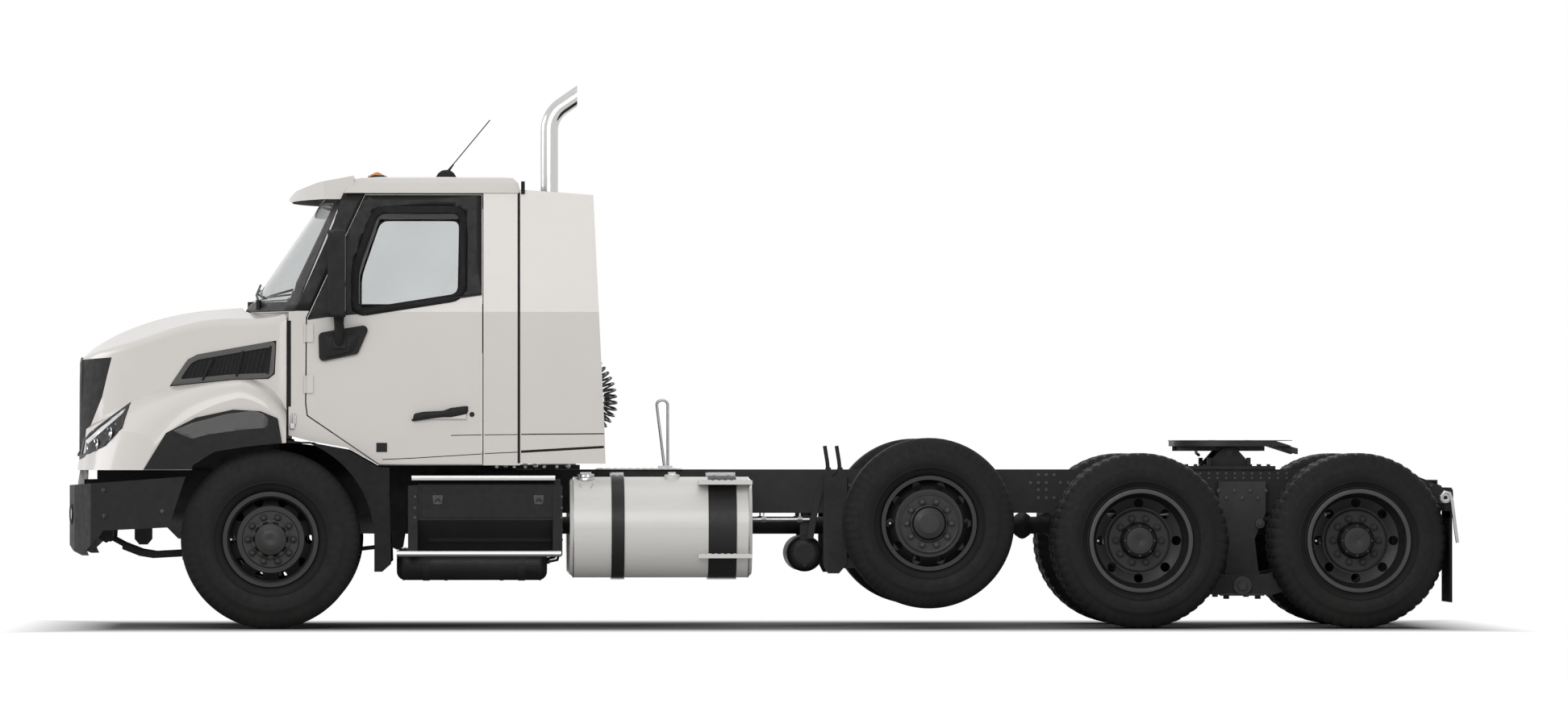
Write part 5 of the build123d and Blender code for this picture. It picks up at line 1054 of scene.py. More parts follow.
def build_chassis():
    """Rail bolts, pipes, brackets, brake chambers, shock absorbers, driveline flanges."""
    bolts = Shape()

    def bolt(x, z, y=RAIL_FACE, size=0.012, out=0.008):
        bolts.hexagon(at(x, y, z), LEFT, size, out)

    for row, columns in ((0.966, (-4.86, -4.91, -4.96)), (0.915, (-4.81, -4.86, -4.91)),
            (0.870, (-4.86, -4.91)), (0.820, (-4.86, -4.91, -4.96)), (0.916, (-5.00, -5.05))):
        for x in columns:
            bolt(x, row)
    for x in (-0.90, -0.95, -1.46, -1.54, -2.68, -2.73, -3.66, -3.74, -7.04, -7.10, -7.36):
        for z in (0.765, 0.83, 0.90):
            bolt(x, z)
    for x in [-5.78 - 0.055 * k for k in range(13)]:
        for z in (0.975, 0.945):
            bolt(x, z, size=0.010, out=0.007)
    for k in range(9):
        bolt(-5.90 - 0.05 * k, 0.820 if k % 2 else 0.866, 0.520, 0.013, 0.010)
    bolts.mirrored().make("rail_bolts", RIM, "engine_metal", bevel=0.0008)

    pipes = Shape()
    # height, radius, front end, rear end
    for z, radius, x0, x1 in ((0.955, 0.009, -2.0, -5.7), (0.925, 0.007, -2.0, -6.9),
            (0.752, 0.010, -3.05, -4.3)):
        pipes.tube([at(x0 + (x1 - x0) * k / 24, 0.414, z + 0.004 * sin(k * 1.9))
            for k in range(25)], radius, 8)
    for x in (-3.2, -3.9, -4.6, -5.3):
        pipes.box(at(x, 0.396, 0.905), at(x + 0.022, 0.423, 0.975))
    pipes.mirrored().make("rail_pipes", LINE, "line_plastic", smooth=50)

    rods = Shape()
    # two upright pegs beside the left rail
    for x in (-3.513, -3.588):
        rods.tube([at(x - 0.012, 0.40, 0.990), at(x - 0.006, 0.40, 1.05),
            at(x + 0.010, 0.40, 1.150)], 0.0125, 12)
        rods.rod(at(x - 0.012, 0.40, 0.985), at(x - 0.012, 0.40, 1.012), 0.018, 12)
    rods.make("rail_pegs", BLACK_METAL, "black_metal")
    # silver pipe under the rail, ahead of the pusher
    pipe = Shape().rod(at(-3.020, 0.405, 0.683), at(-3.420, 0.405, 0.683), 0.014, 20)
    for x in (-3.10, -3.33):
        pipe.rod(at(x, 0.405, 0.683), at(x - 0.03, 0.405, 0.683), 0.020, 6)
        pipe.box(at(x - 0.020, 0.398, 0.690), at(x - 0.010, 0.412, 0.726))
    pipe.mirrored().make("rail_foot_pipes", STEEL, "engine_metal", smooth=50)
    # couplings and brackets in the gap between the cab's rear and the rail
    ledge, bits = Shape(), Shape()
    ledge.box(at(-1.385, 0.560, 1.001), at(-1.945, 0.600, 1.030))
    for k, x in enumerate((-1.42, -1.475, -1.53, -1.60, -1.665, -1.72, -1.80, -1.87)):
        if k % 3 == 1:
            bits.lathe(at(x, 0.604, 1.021), LEFT, [(0.0, 0.0), (0.0, 0.017), (0.012, 0.017), (0.016, 0.010),
                (0.016, 0.0)], 20)
        else:
            bits.hexagon(at(x, 0.600, 1.018), LEFT, 0.012, 0.010)
            ledge.box(at(x - 0.014, 0.560, 1.030), at(x + 0.010, 0.598, 1.037))
    bits.tube([at(-1.40, 0.606, 1.034), at(-1.60, 0.610, 1.028), at(-1.92, 0.606, 1.035)], 0.0055, 8)
    ledge.mirrored().make("cab_mount_ledges", BLACK_METAL, "black_metal", bevel=0.002)
    bits.mirrored().make("cab_mount_fittings", STEEL, "engine_metal", bevel=0.0008)
    strap = Shape()
    path = [(-3.562, 0.992), (-3.500, 0.930), (-3.462, 0.840), (-3.430, 0.700), (-3.408, 0.560)]
    strap.rings([[at(x + dx, y, z) for dx, y in ((-0.022, 0.440), (0.022, 0.440), (0.022, 0.448),
        (-0.022, 0.448))] for x, z in path])
    strap.mirrored().make("pusher_straps", BLACK_METAL, "black_metal", bevel=0.001)

    hardware = Shape()
    # walking-beam saddle U-bolts and end bushings
    for x in (BOGIE - 0.10, BOGIE + 0.10):
        for y in (0.470, 0.530):
            hardware.rod(at(x, y, 0.190), at(x, y, 0.345), 0.011, 10)
            hardware.hexagon(at(x, y, 0.178), UP, 0.019, 0.022)
    hardware.box(at(-6.290, 0.450, 0.198), at(-6.010, 0.555, 0.214))
    for x in (DRIVE_FRONT, DRIVE_REAR):
        hardware.rod(at(x, 0.452, 0.395), at(x, 0.556, 0.395), 0.052, 28)
        hardware.hexagon(at(x, 0.552, 0.395), LEFT, 0.026, 0.018)
    hardware.rod(at(BOGIE, 0.448, 0.262), at(BOGIE, 0.562, 0.262), 0.060, 32)
    hardware.hexagon(at(BOGIE, 0.560, 0.262), LEFT, 0.034, 0.018)
    # upper torque rods from the hanger to the axle tops
    for x0, x1 in ((-6.02, -5.56), (-6.28, -6.74)):
        hardware.rod(at(x0, 0.300, 0.730), at(x1, 0.300, 0.680), 0.024, 14)
        for x, z in ((x0, 0.730), (x1, 0.680)):
            hardware.rod(at(x, 0.262, z), at(x, 0.338, z), 0.046, 24)
    hardware.rod(at(-6.262, 0.520, 0.655), at(-6.262, 0.560, 0.655), 0.030, 20)
    hardware.hexagon(at(-6.262, 0.558, 0.655), LEFT, 0.018, 0.014)
    hardware.mirrored().make("bogie_hardware", RIM, "engine_metal", bevel=0.002)

    brakes = Shape()
    # station, height, distance aside
    for station, low, y in ((DRIVE_FRONT - 0.30, 0.652, 0.32), (DRIVE_REAR + 0.30, 0.652, 0.32),
            (PUSHER + 0.28, 0.540, 0.50)):
        brakes.lathe(at(station, y, low), (0.0, 0.25, 1.0), [(-0.075, 0.0), (-0.075, 0.066), (-0.060, 0.078),
            (-0.006, 0.082), (-0.006, 0.089), (0.006, 0.089), (0.006, 0.082), (0.055, 0.078), (0.078, 0.060),
            (0.080, 0.0)], 32)
        brakes.tube([at(station, y, low + 0.07), at(station + 0.02, y, low + 0.14),
            at(station + 0.06, y - 0.02, low + 0.20)], 0.010, 10)
    brakes.mirrored().make("brake_chambers", BLACK_METAL, "black_metal", smooth=40)

    profile = [(0.0, 0.0), (0.0, 0.102)]
    for ring in range(4):
        base = 0.02 + ring * 0.045
        profile += [(base, 0.100), (base + 0.012, 0.112), (base + 0.028, 0.112), (base + 0.040, 0.100)]
    profile += [(0.208, 0.098), (0.208, 0.0)]
    bellows = Shape().lathe(at(PUSHER - 0.030, 0.412, 0.514), UP, profile, 40)
    bellows.mirrored().make("pusher_bellows", SEAL, "black_plastic", smooth=50)

    # splash apron between the wheel arch and the driveline, under the cab's cut front corner
    apron = Shape().prism([at(x, 0.585, z) for x, z in ((-0.045, 0.985), (-0.045, 1.195), (-0.120, 1.195),
        (-0.130, 1.170), (-0.450, 1.129), (-0.640, 1.035), (-0.640, 0.985))], (0, 0.004, 0))
    apron.mirrored().make("arch_aprons", SEAL, "black_plastic", bevel=0.001)

    shocks = Shape()
    # foot and head of each damper, forward and up, then its distance aside
    for x0, z0, x1, z1, y in ((0.16, 0.452, 0.30, 0.790, 0.34), (-4.25, 0.47, -4.40, 0.80, 0.33)):
        low, high = at(x0, y, z0), at(x1, y, z1)
        middle = low.lerp(high, 0.45)
        shocks.rod(low, middle, 0.030, 20)
        shocks.rod(middle - (high - low) * 0.12, high, 0.036, 20)
        shocks.rod(low - LEFT * 0.03, low + LEFT * 0.03, 0.026, 16)
        shocks.rod(high - LEFT * 0.03, high + LEFT * 0.05, 0.026, 16)
    shocks.mirrored().make("shock_absorbers", BLACK_METAL, "black_metal", bevel=0.002)

    joints = Shape()
    for x in (-4.98, -4.78, -6.42, -5.85, -1.10):
        joints.lathe(at(x, 0, 0.643), FORWARD, [(-0.05, 0.0), (-0.05, 0.060), (-0.02, 0.082), (0.0, 0.088),
            (0.02, 0.082), (0.05, 0.060), (0.05, 0.0)], 24)
    for x in (DRIVE_FRONT, DRIVE_REAR):
        for k in range(14):
            angle = tau * k / 14
            joints.hexagon(at(x + 0.155 * cos(angle), -0.186, DRIVE_Z + 0.155 * sin(angle)), INWARD,
                0.010, 0.010)
    joints.make("driveline_joints", CAST, "engine_metal", bevel=0.001, smooth=40)


# axis of the air tank under the step box
AIR_Y, AIR_Z = 0.880, 0.397


def build_side_gear():
    """Step boxes, air tanks, fuel tanks: trim on both sides of the chassis."""
    chrome = Shape()
    # the upper tread's bright front edge and its cross ribs
    chrome.rings([[at(x, y, z) for y, z in rounded([(1.150, 0.929), (1.2235, 0.929), (1.2235, 0.9635),
        (1.150, 0.9635)], 0.012)] for x in (-0.884, -1.783)])
    for k in range(15):
        x = -0.935 - 0.057 * k
        chrome.rings([[at(x + dx, y, z) for dx, z in ((-0.020, 0.960), (0.020, 0.960), (0.014, 0.9630),
            (-0.014, 0.9630))] for y in (0.985, 1.145)])
    chrome.rod(at(-0.790, 1.205, 0.473), at(-1.821, 1.205, 0.473), 0.0208, 32)
    chrome.mirrored().make("step_brightwork", CHROME, "stack_metal", smooth=50)
    latches = Shape()
    for x in (-1.047, -1.680):
        latches.rings([[at(x + dx, 1.1905 + out, z) for dx, z in rounded([(-0.026, 0.782), (0.026, 0.782),
            (0.034, 0.840), (-0.034, 0.840)], 0.012)] for out in (0.0, 0.006)])
        latches.tube([at(x - 0.018, 1.200, 0.800), at(x, 1.214, 0.818),
            at(x + 0.018, 1.200, 0.800)], 0.006, 8)
        latches.rod(at(x, 1.192, 0.826), at(x, 1.206, 0.826), 0.011, 14)
    for x in (-0.925, -1.845):
        for z in (0.56, 0.62, 0.70, 0.76, 0.83):
            latches.hexagon(at(x + 0.02, 1.2002, z), LEFT, 0.009, 0.008)
    latches.mirrored().make("step_box_latches", RIM, "engine_metal", bevel=0.001)
    panel = Shape()
    # the upper door stands upright; the lower tread well leans
    upper = [(-0.945, 0.905), (-1.795, 0.905), (-1.795, 0.700), (-0.945, 0.700)]
    lower = [(-1.010, 0.668), (-1.735, 0.668), (-1.765, 0.545), (-0.985, 0.545)]
    for outline, y, lean, depth in ((upper, 1.1905, 0.0, 0.004), (lower, 1.075, 0.42, 0.003)):
        loop = rounded(outline, 0.012)
        panel.rings([[at(x, y + out + lean * (z - 0.545), z) for x, z in loop] for out in (0.0, depth)])
    panel.mirrored().make("step_box_door", BLACK_PLASTIC, "black_plastic", bevel=0.0015)
    air = Shape()
    for x, out in ((-0.789, 1), (-1.736, -1)):
        air.lathe(at(x, AIR_Y, AIR_Z), (out, 0, 0), [(-0.050, 0.0952), (-0.044, 0.0965),
            (-0.038, 0.0952)], 48)
    for x in (-0.975, -1.575):
        air.lathe(at(x, AIR_Y, AIR_Z), FORWARD, [(-0.022, 0.0945), (-0.022, 0.0975), (0.022, 0.0975),
            (0.022, 0.0945)], 48)
    for x in (-1.10, -1.45):
        air.rod(at(x, 0.880, 0.300), at(x, 0.880, 0.312), 0.012, 12)
    air.rod(at(-1.735, 0.905, 0.420), at(-1.752, 0.905, 0.420), 0.014, 12)
    air.tube([at(-1.745, 0.905, 0.420), at(-1.80, 0.900, 0.430), at(-1.82, 0.860, 0.500),
        at(-1.80, 0.800, 0.560)], 0.009, 8)
    air.lathe(at(-3.376, 0.392, 0.466), LEFT, [(-0.030, 0.1135), (-0.020, 0.1150), (0.000, 0.1135)], 48)
    air.hexagon(at(-3.376, 0.399, 0.395), LEFT, 0.016, 0.016)
    air.mirrored().make("air_tank_fittings", CAST, "engine_metal", smooth=40)

    straps, metal = Shape(), Shape()
    y, z, radius = 0.928, 0.637, 0.317
    for x, wide in ((-2.135, 0.086), (-2.743, 0.182)):
        straps.lathe(at(x - wide / 2, y, z), FORWARD, [(-wide / 2 + 0.002, radius + 0.0050),
            (-wide / 2 + 0.004, radius + 0.0075), (wide / 2 - 0.004, radius + 0.0075),
            (wide / 2 - 0.002, radius + 0.0050)], 96)
        metal.box(at(x - wide + 0.004, y - 0.075, z + radius + 0.006),
            at(x - 0.004, y - 0.035, z + radius + 0.028))
        for dx in (-0.25, 0.25):
            metal.rod(at(x - wide / 2 + dx * wide, y - 0.085, z + radius + 0.017),
                at(x - wide / 2 + dx * wide, y + 0.005, z + radius + 0.017), 0.007, 10)
    straps.mirrored().make("tank_straps", BLACK_METAL, "black_metal", smooth=30)
    # caps with grip lobes, the filler's chain, treads with punched ridges, weld beads
    for x, size in ((-1.978, 0.050), (-2.520, 0.034)):
        top = z + radius + 0.014
        loops = []
        for up, share in ((-0.020, 1.0), (-0.002, 1.0), (0.004, 0.94)):
            loops.append([at(x + size * share * (1 + 0.07 * cos(6 * a)) * cos(a),
                y + 0.060 + size * share * (1 + 0.07 * cos(6 * a)) * sin(a), top + up) for a in turns(48)])
        metal.rings(loops)
        metal.box(at(x - size * 0.7, y + 0.054, top + 0.003), at(x + size * 0.7, y + 0.066, top + 0.016))
        metal.lathe(at(x, y + 0.060, top - 0.034), UP, [(0.0, size * 1.35), (0.012, size * 1.30),
            (0.016, size * 1.05)], 40)
    links = []
    for k in range(11):
        share = k / 10
        links.append(at(-1.978 + 0.045 - 0.09 * share, y + 0.175 + 0.05 * sin(pi * share),
            z + radius - 0.035 - 0.072 * sin(pi * share)))
    for k, (a, b) in enumerate(zip(links, links[1:])):
        direction = (b - a).normalized()
        sideways, up = axes_of(direction)
        if k % 2:
            sideways, up = up, sideways
        centre = (a + b) / 2
        ring = [centre + direction * (0.0085 * cos(t)) + sideways * (0.0045 * sin(t))
            for t in [*turns(12), tau]]
        metal.tube(ring, 0.0016, 6)
    for inner, high in ((1.045, 0.932), (1.170, 0.470)):
        for k in range(8):
            x = -2.715 - 0.039 * k
            metal.rings([[at(x + dx, yy, hz) for dx, hz in ((-0.012, high - 0.001), (0.012, high - 0.001),
                (0.007, high + 0.004), (-0.007, high + 0.004))] for yy in (inner, 1.232)])
    for x in (-1.899, -2.999):
        metal.lathe(at(x, y, z), FORWARD, [(-0.004, radius - 0.0005), (0.0, radius + 0.0022),
            (0.004, radius - 0.0005)], 96)
    metal.mirrored().make("tank_caps_and_treads", STEEL, "tank_metal", bevel=0.0008, smooth=35)


LAMP_X, LAMP_Z = -7.4995, 0.830


# heights of the deck plate's face and of the coupler's face
DECK_TOP, PLATE_TOP = 1.0055, 1.1843


def build_deck_and_tail():
    deck = Shape()
    for row in range(11):
        for column in range(17):
            x, y = -2.085 - row * 0.047, -0.425 + column * 0.0531
            turn = 0.8 if (row + column) % 2 else -0.8
            dx, dy = 0.014 * cos(turn), 0.014 * sin(turn)
            wx, wy = -0.0035 * sin(turn), 0.0035 * cos(turn)
            deck.rings([[at(x + dx * s + wx * w, y + dy * s + wy * w, DECK_TOP + up)
                for s, w in ((-1, 0), (-0.5, 1), (0.5, 1), (1, 0), (0.5, -1), (-0.5, -1))]
                for up in (0.0, 0.0022)])
    deck.make("deck_tread_marks", STEEL, "engine_metal", smooth=0)
    greased = Shape()
    for k in range(7):
        radius = 0.13 + 0.05 * k
        for start, end in ((0.15 * pi, 0.85 * pi), (1.15 * pi, 1.85 * pi)):
            points = [at(BOGIE + 0.04 + radius * cos(a), radius * sin(a), PLATE_TOP)
                for a in (start + (end - start) * i / 24 for i in range(25))]
            if max(abs(p.y) for p in points) < 0.46:
                greased.tube(points, 0.0022, 6)
    bolts = Shape()
    for x in (BOGIE + 0.18, BOGIE - 0.05):
        for y in (-0.32, 0.32):
            bolts.lathe(at(x, y, PLATE_TOP + 0.0002), UP, [(0.0, 0.026), (0.0025, 0.022), (0.0025, 0.0)], 20)
    bolts.tube([at(-5.90, -0.20, 1.130), at(-5.92, -0.38, 1.120), at(-5.93, -0.50, 1.105),
        at(-5.95, -0.52, 1.09)], 0.010, 10)
    for y in (-0.29, -0.16, 0.16, 0.29):
        bolts.prism([at(-5.76, y - 0.008, 1.150), at(-5.76, y + 0.008, 1.150), at(-5.76, y + 0.008, 1.118),
            at(-5.76, y - 0.008, 1.118)], (-0.55, 0, 0))
    greased.make("coupler_grease_lines", GREASE, "fifth_metal", "fifth_wheel_top", smooth=50)
    bolts.make("coupler_release_and_ribs", GREASE, "fifth_metal", "fifth_wheel_top", bevel=0.002)
    base = Shape()
    for k in range(11):
        for y in (0.405, 0.438):
            base.hexagon(at(-5.745 - 0.058 * k, y, 1.0215), UP, 0.012, 0.012)
    for x in (-5.95, -6.20):
        base.box(at(x - 0.012, 0.360, 1.020), at(x + 0.012, 0.425, 1.075))
    base.mirrored().make("coupler_base_bolts", CAST, "black_metal", bevel=0.0012)
    lenses, rims, clear = Shape(), Shape(), Shape()
    for y, kind in ((0.345, lenses), (0.245, lenses), (0.170, clear)):
        size = 0.044 if kind is lenses else 0.026
        rims.lathe(at(LAMP_X - 0.0003, y, LAMP_Z), BACKWARD, [(-0.004, size + 0.006), (0.004, size + 0.005),
            (0.006, size), (0.002, size - 0.002)], 36)
        kind.lathe(at(LAMP_X, y, LAMP_Z), BACKWARD, [(0.0, size), (0.005, size * 0.92), (0.009, size * 0.6),
            (0.010, 0.0)], 36)
    for shape, name, finish, slot in ((lenses, "tail_lamp_lenses", RED, "red_lamp"),
            (clear, "reverse_lamp_lenses", CLEAR, "lamp_glass"), (rims, "tail_lamp_rims", TRIM,
            "black_plastic")):
        shape.mirrored().make(name, finish, slot, smooth=50)
    flaps = Shape()
    for y in (0.70, 0.94, 1.18):
        flaps.hexagon(at(-7.408, y, 0.715), BACKWARD, 0.012, 0.008)
    flaps.box(at(-7.414, 0.645, 0.695), at(-7.408, 1.235, 0.738))
    for k in range(11):
        yy = 0.668 + k * 0.0545
        flaps.rings([[at(x, yy + dy, zz) for x, dy in ((-7.4075, -0.008), (-7.4075, 0.008), (-7.4115, 0.003),
            (-7.4115, -0.003))] for zz in (0.215, 0.660)])
    flaps.mirrored().make("mud_flap_fittings", SEAL, "black_plastic", bevel=0.001)
    # bright couplings stowed on the ends of the mud flap arms
    glad = Shape()
    path = [at(-7.362, 1.246, 0.800), at(-7.350, 1.248, 0.832), at(-7.370, 1.250, 0.858),
        at(-7.402, 1.250, 0.850), at(-7.418, 1.250, 0.800), at(-7.428, 1.250, 0.720),
        at(-7.440, 1.250, 0.620), at(-7.452, 1.250, 0.540)]
    glad.tube(path, 0.011, 12)
    glad.lathe(at(-7.376, 1.236, 0.822), LEFT, [(0.0, 0.034), (0.014, 0.034), (0.018, 0.028), (0.018, 0.014),
        (0.010, 0.012), (0.0, 0.012)], 28)
    glad.mirrored().make("tail_tow_hooks", STEEL, "engine_metal", bevel=0.001, smooth=45)


def build_stack():
    stack = Shape()
    x, y = -1.765, -0.850
    # clamps: lower edge, upper edge, radius
    for low, high, size in ((1.262, 1.300, 0.1115), (2.510, 2.550, 0.1115), (2.735, 2.765, 0.068)):
        stack.lathe(at(x, y, low), UP, [(0.0, size - 0.001), (0.003, size + 0.003),
            (high - low - 0.003, size + 0.003), (high - low, size - 0.001)], 48)
    stack.make("stack_clamps", STEEL, "stack_metal", smooth=40)
    # the shield's slots are dark raised discs on its face, painted shade standing in for holes
    shield = Shape()
    for k in range(34):
        for j in range(10):
            a = pi * 0.25 + (j + (k % 2) * 0.5) * pi * 1.5 / 10
            z = 1.40 + k * 0.032
            out = Vector((cos(a), sin(a), 0))
            centre = at(x, y, z) + out * 0.1100
            up, across = UP, Vector((-sin(a), cos(a), 0))
            shield.rings([[centre + up * (0.010 * s * cos(t)) + across * (0.006 * s * sin(t)) + out * lift
                for t in turns(8)] for s, lift in ((1.0, -0.0005), (0.85, 0.0012))])
    shield.make("stack_shield_slots", SEAL, "black_metal", smooth=0)
    boot = Shape().lathe(at(x, y, 2.742), UP, [(-0.01, 0.066), (0.0, 0.072), (0.030, 0.070), (0.046, 0.060),
        (0.046, 0.0572)], 48)
    boot.make("stack_boot", SEAL, "black_plastic", smooth=40)


# ---- cabin: soft seats, dashboard, floor, headlining ----
CLOTH_FRAMES, CLOTH_PRESSURE = 20, 4.0


def soften(shape, name, material, swell=0.022, voxel=0.012):
    """A cushion: the shape voxel-remeshed, blown up by cloth pressure, capped, applied and smoothed."""
    made = shape.make(name, material, smooth=0)
    remesh = made.modifiers.new("remesh", "REMESH")
    remesh.mode = "VOXEL"
    remesh.voxel_size = voxel
    apply_all(made)
    before = [v.co.copy() for v in made.data.vertices]
    cloth = made.modifiers.new("cloth", "CLOTH")
    cloth.settings.use_pressure = True
    cloth.settings.uniform_pressure_force = CLOTH_PRESSURE
    cloth.settings.effector_weights.gravity = 0.0
    cloth.settings.quality = 4
    cloth.point_cache.frame_start = 1
    cloth.point_cache.frame_end = CLOTH_FRAMES
    for number in range(1, CLOTH_FRAMES + 1):
        bpy.context.scene.frame_set(number)
    apply_all(made)
    bpy.context.scene.frame_set(1)
    for vert, place in zip(made.data.vertices, before):
        move = vert.co - place
        if move.length > swell:
            vert.co = place + move.normalized() * swell
    smooth = made.modifiers.new("smooth", "SMOOTH")
    smooth.iterations = 6
    made.modifiers.new("subdivision", "SUBSURF").levels = 1
    made.data.shade_smooth()
    return made


def apply_all(made):
    bpy.context.view_layer.update()
    graph = bpy.context.evaluated_depsgraph_get()
    mesh = bpy.data.meshes.new_from_object(made.evaluated_get(graph))
    old = made.data
    made.modifiers.clear()
    made.data = mesh
    bpy.data.meshes.remove(old)


def cushion(centre, axes, size, crown=0.02, waist=0.012, rows=9):
    """A crowned closed pad: axes are along, across and out; size is their full lengths."""
    centre = Vector(centre)
    u, v, w = [Vector(a).normalized() for a in axes]
    length, wide, deep = size
    shape = Shape()
    top, bottom = [], []
    for i in range(rows + 1):
        a = 2 * i / rows - 1
        for j in range(rows + 1):
            b = 2 * j / rows - 1
            pull_a = 1 - waist * (1 - b * b) / length * 2
            pull_b = 1 - waist * (1 - a * a) / wide * 2
            edge = (1 - a ** 4) * (1 - b ** 4)
            base = centre + u * (a * length / 2 * pull_a) + v * (b * wide / 2 * pull_b)
            top.append(base + w * (deep / 2 * (0.72 + 0.28 * edge) + crown * edge))
            bottom.append(base - w * (deep / 2 * (0.85 + 0.15 * edge)))
    n = rows + 1
    faces = []
    for i in range(rows):
        for j in range(rows):
            k = i * n + j
            faces.append((k, k + 1, k + n + 1, k + n))
            faces.append(tuple(n * n + q for q in (k, k + n, k + n + 1, k + 1)))
    rim = (list(range(n)) + [i * n + rows for i in range(1, n)] + [rows * n + j
        for j in range(rows - 1, -1, -1)] + [i * n for i in range(rows - 1, 0, -1)])
    for a, b in zip(rim, rim[1:] + rim[:1]):
        faces.append((a, n * n + a, n * n + b, b))
    return shape.add(top + bottom, faces)


SEAT_Y = 0.520


def build_seats():
    for side, sign in SIDES.items():
        y = SEAT_Y * sign
        seat_top = cushion(at(-0.995, y, 1.582), ((1, 0, 0.02), LEFT, UP), (0.46, 0.47, 0.10))
        lean = Vector((-0.13, 0, 1)).normalized()
        out = Vector((lean.z, 0, -lean.x))
        back = cushion(at(-1.262, y, 1.850), (lean, LEFT, out), (0.40, 0.45, 0.085), crown=0.014)
        bolster = Shape()
        for dy in (-0.215, 0.215):
            piece = cushion(at(-0.995, y + dy, 1.600), ((1, 0, 0.02), LEFT, UP), (0.44, 0.08, 0.11),
                0.008, 0.004, 5)
            bolster.add(piece.verts, piece.faces)
            piece = cushion(at(-1.248, y + dy * 0.98, 1.850), (lean, LEFT, out), (0.37, 0.075, 0.11),
                0.008, 0.004, 5)
            bolster.add(piece.verts, piece.faces)
        for part, shape in (("cushion", seat_top), ("backrest", back)):
            made = soften(shape, f"seat_{part}_{side}", CLOTH)
        made = soften(bolster, f"seat_bolsters_{side}", VINYL, swell=0.008, voxel=0.009)
        shell = Shape()
        shell.rings([[at(x, y + dy, z) for dy in (-0.235, -0.20, 0.20, 0.235)] + [at(x2, y + dy, z2)
            for dy in (0.235, 0.20, -0.20, -0.235)] for x, z, x2, z2 in ((-0.77, 1.505, -0.77, 1.530),
            (-1.20, 1.505, -1.20, 1.532))])
        shell.rings([[at(x, y + dy, z) for dy, x in ((-0.235, x0 + 0.025), (-0.10, x0), (0.10, x0),
            (0.235, x0 + 0.025), (0.235, x0 + 0.055), (-0.235, x0 + 0.055))]
            for x0, z in ((-1.300, 1.580), (-1.340, 1.800), (-1.372, 2.045))])
        for k in range(6):
            z = 1.12 + k * 0.055
            shell.rings([[at(-1.03 + dx * wide, y + dy * wide, z + dz)
                for dx, dy in ((-0.17, -0.16), (0.17, -0.16), (0.17, 0.16), (-0.17, 0.16))]
                for dz, wide in ((0.0, 0.92), (0.027, 1.0), (0.054, 0.92))])
        shell.box(at(-1.22, y - 0.17, 1.098), at(-0.86, y + 0.17, 1.125))
        shell.box(at(-1.20, y - 0.16, 1.445), at(-0.86, y + 0.16, 1.508))
        for dy in (-0.262, 0.262):
            shell.tube([at(-1.285, y + dy, 1.745), at(-1.00, y + dy, 1.742)], 0.022, 12)
        made = shell.make(f"seat_base_{side}", VINYL, "dash_plastic", bevel=0.006, smooth=45)
        if side == "left":
            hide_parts("seats")
        belt = Shape()
        belt.rings([[at(x, y + sign * 0.215 + dy, z) for dy in (-0.022, 0.022)] + [at(x + 0.002,
            y + sign * 0.215 + dy, z) for dy in (0.022, -0.022)] for x, z in ((-1.345, 2.03), (-1.205, 1.98),
            (-1.155, 1.72), (-1.10, 1.64), (-1.12, 1.55))])
        belt.make(f"seat_belt_{side}", BELT, "seat_cloth")


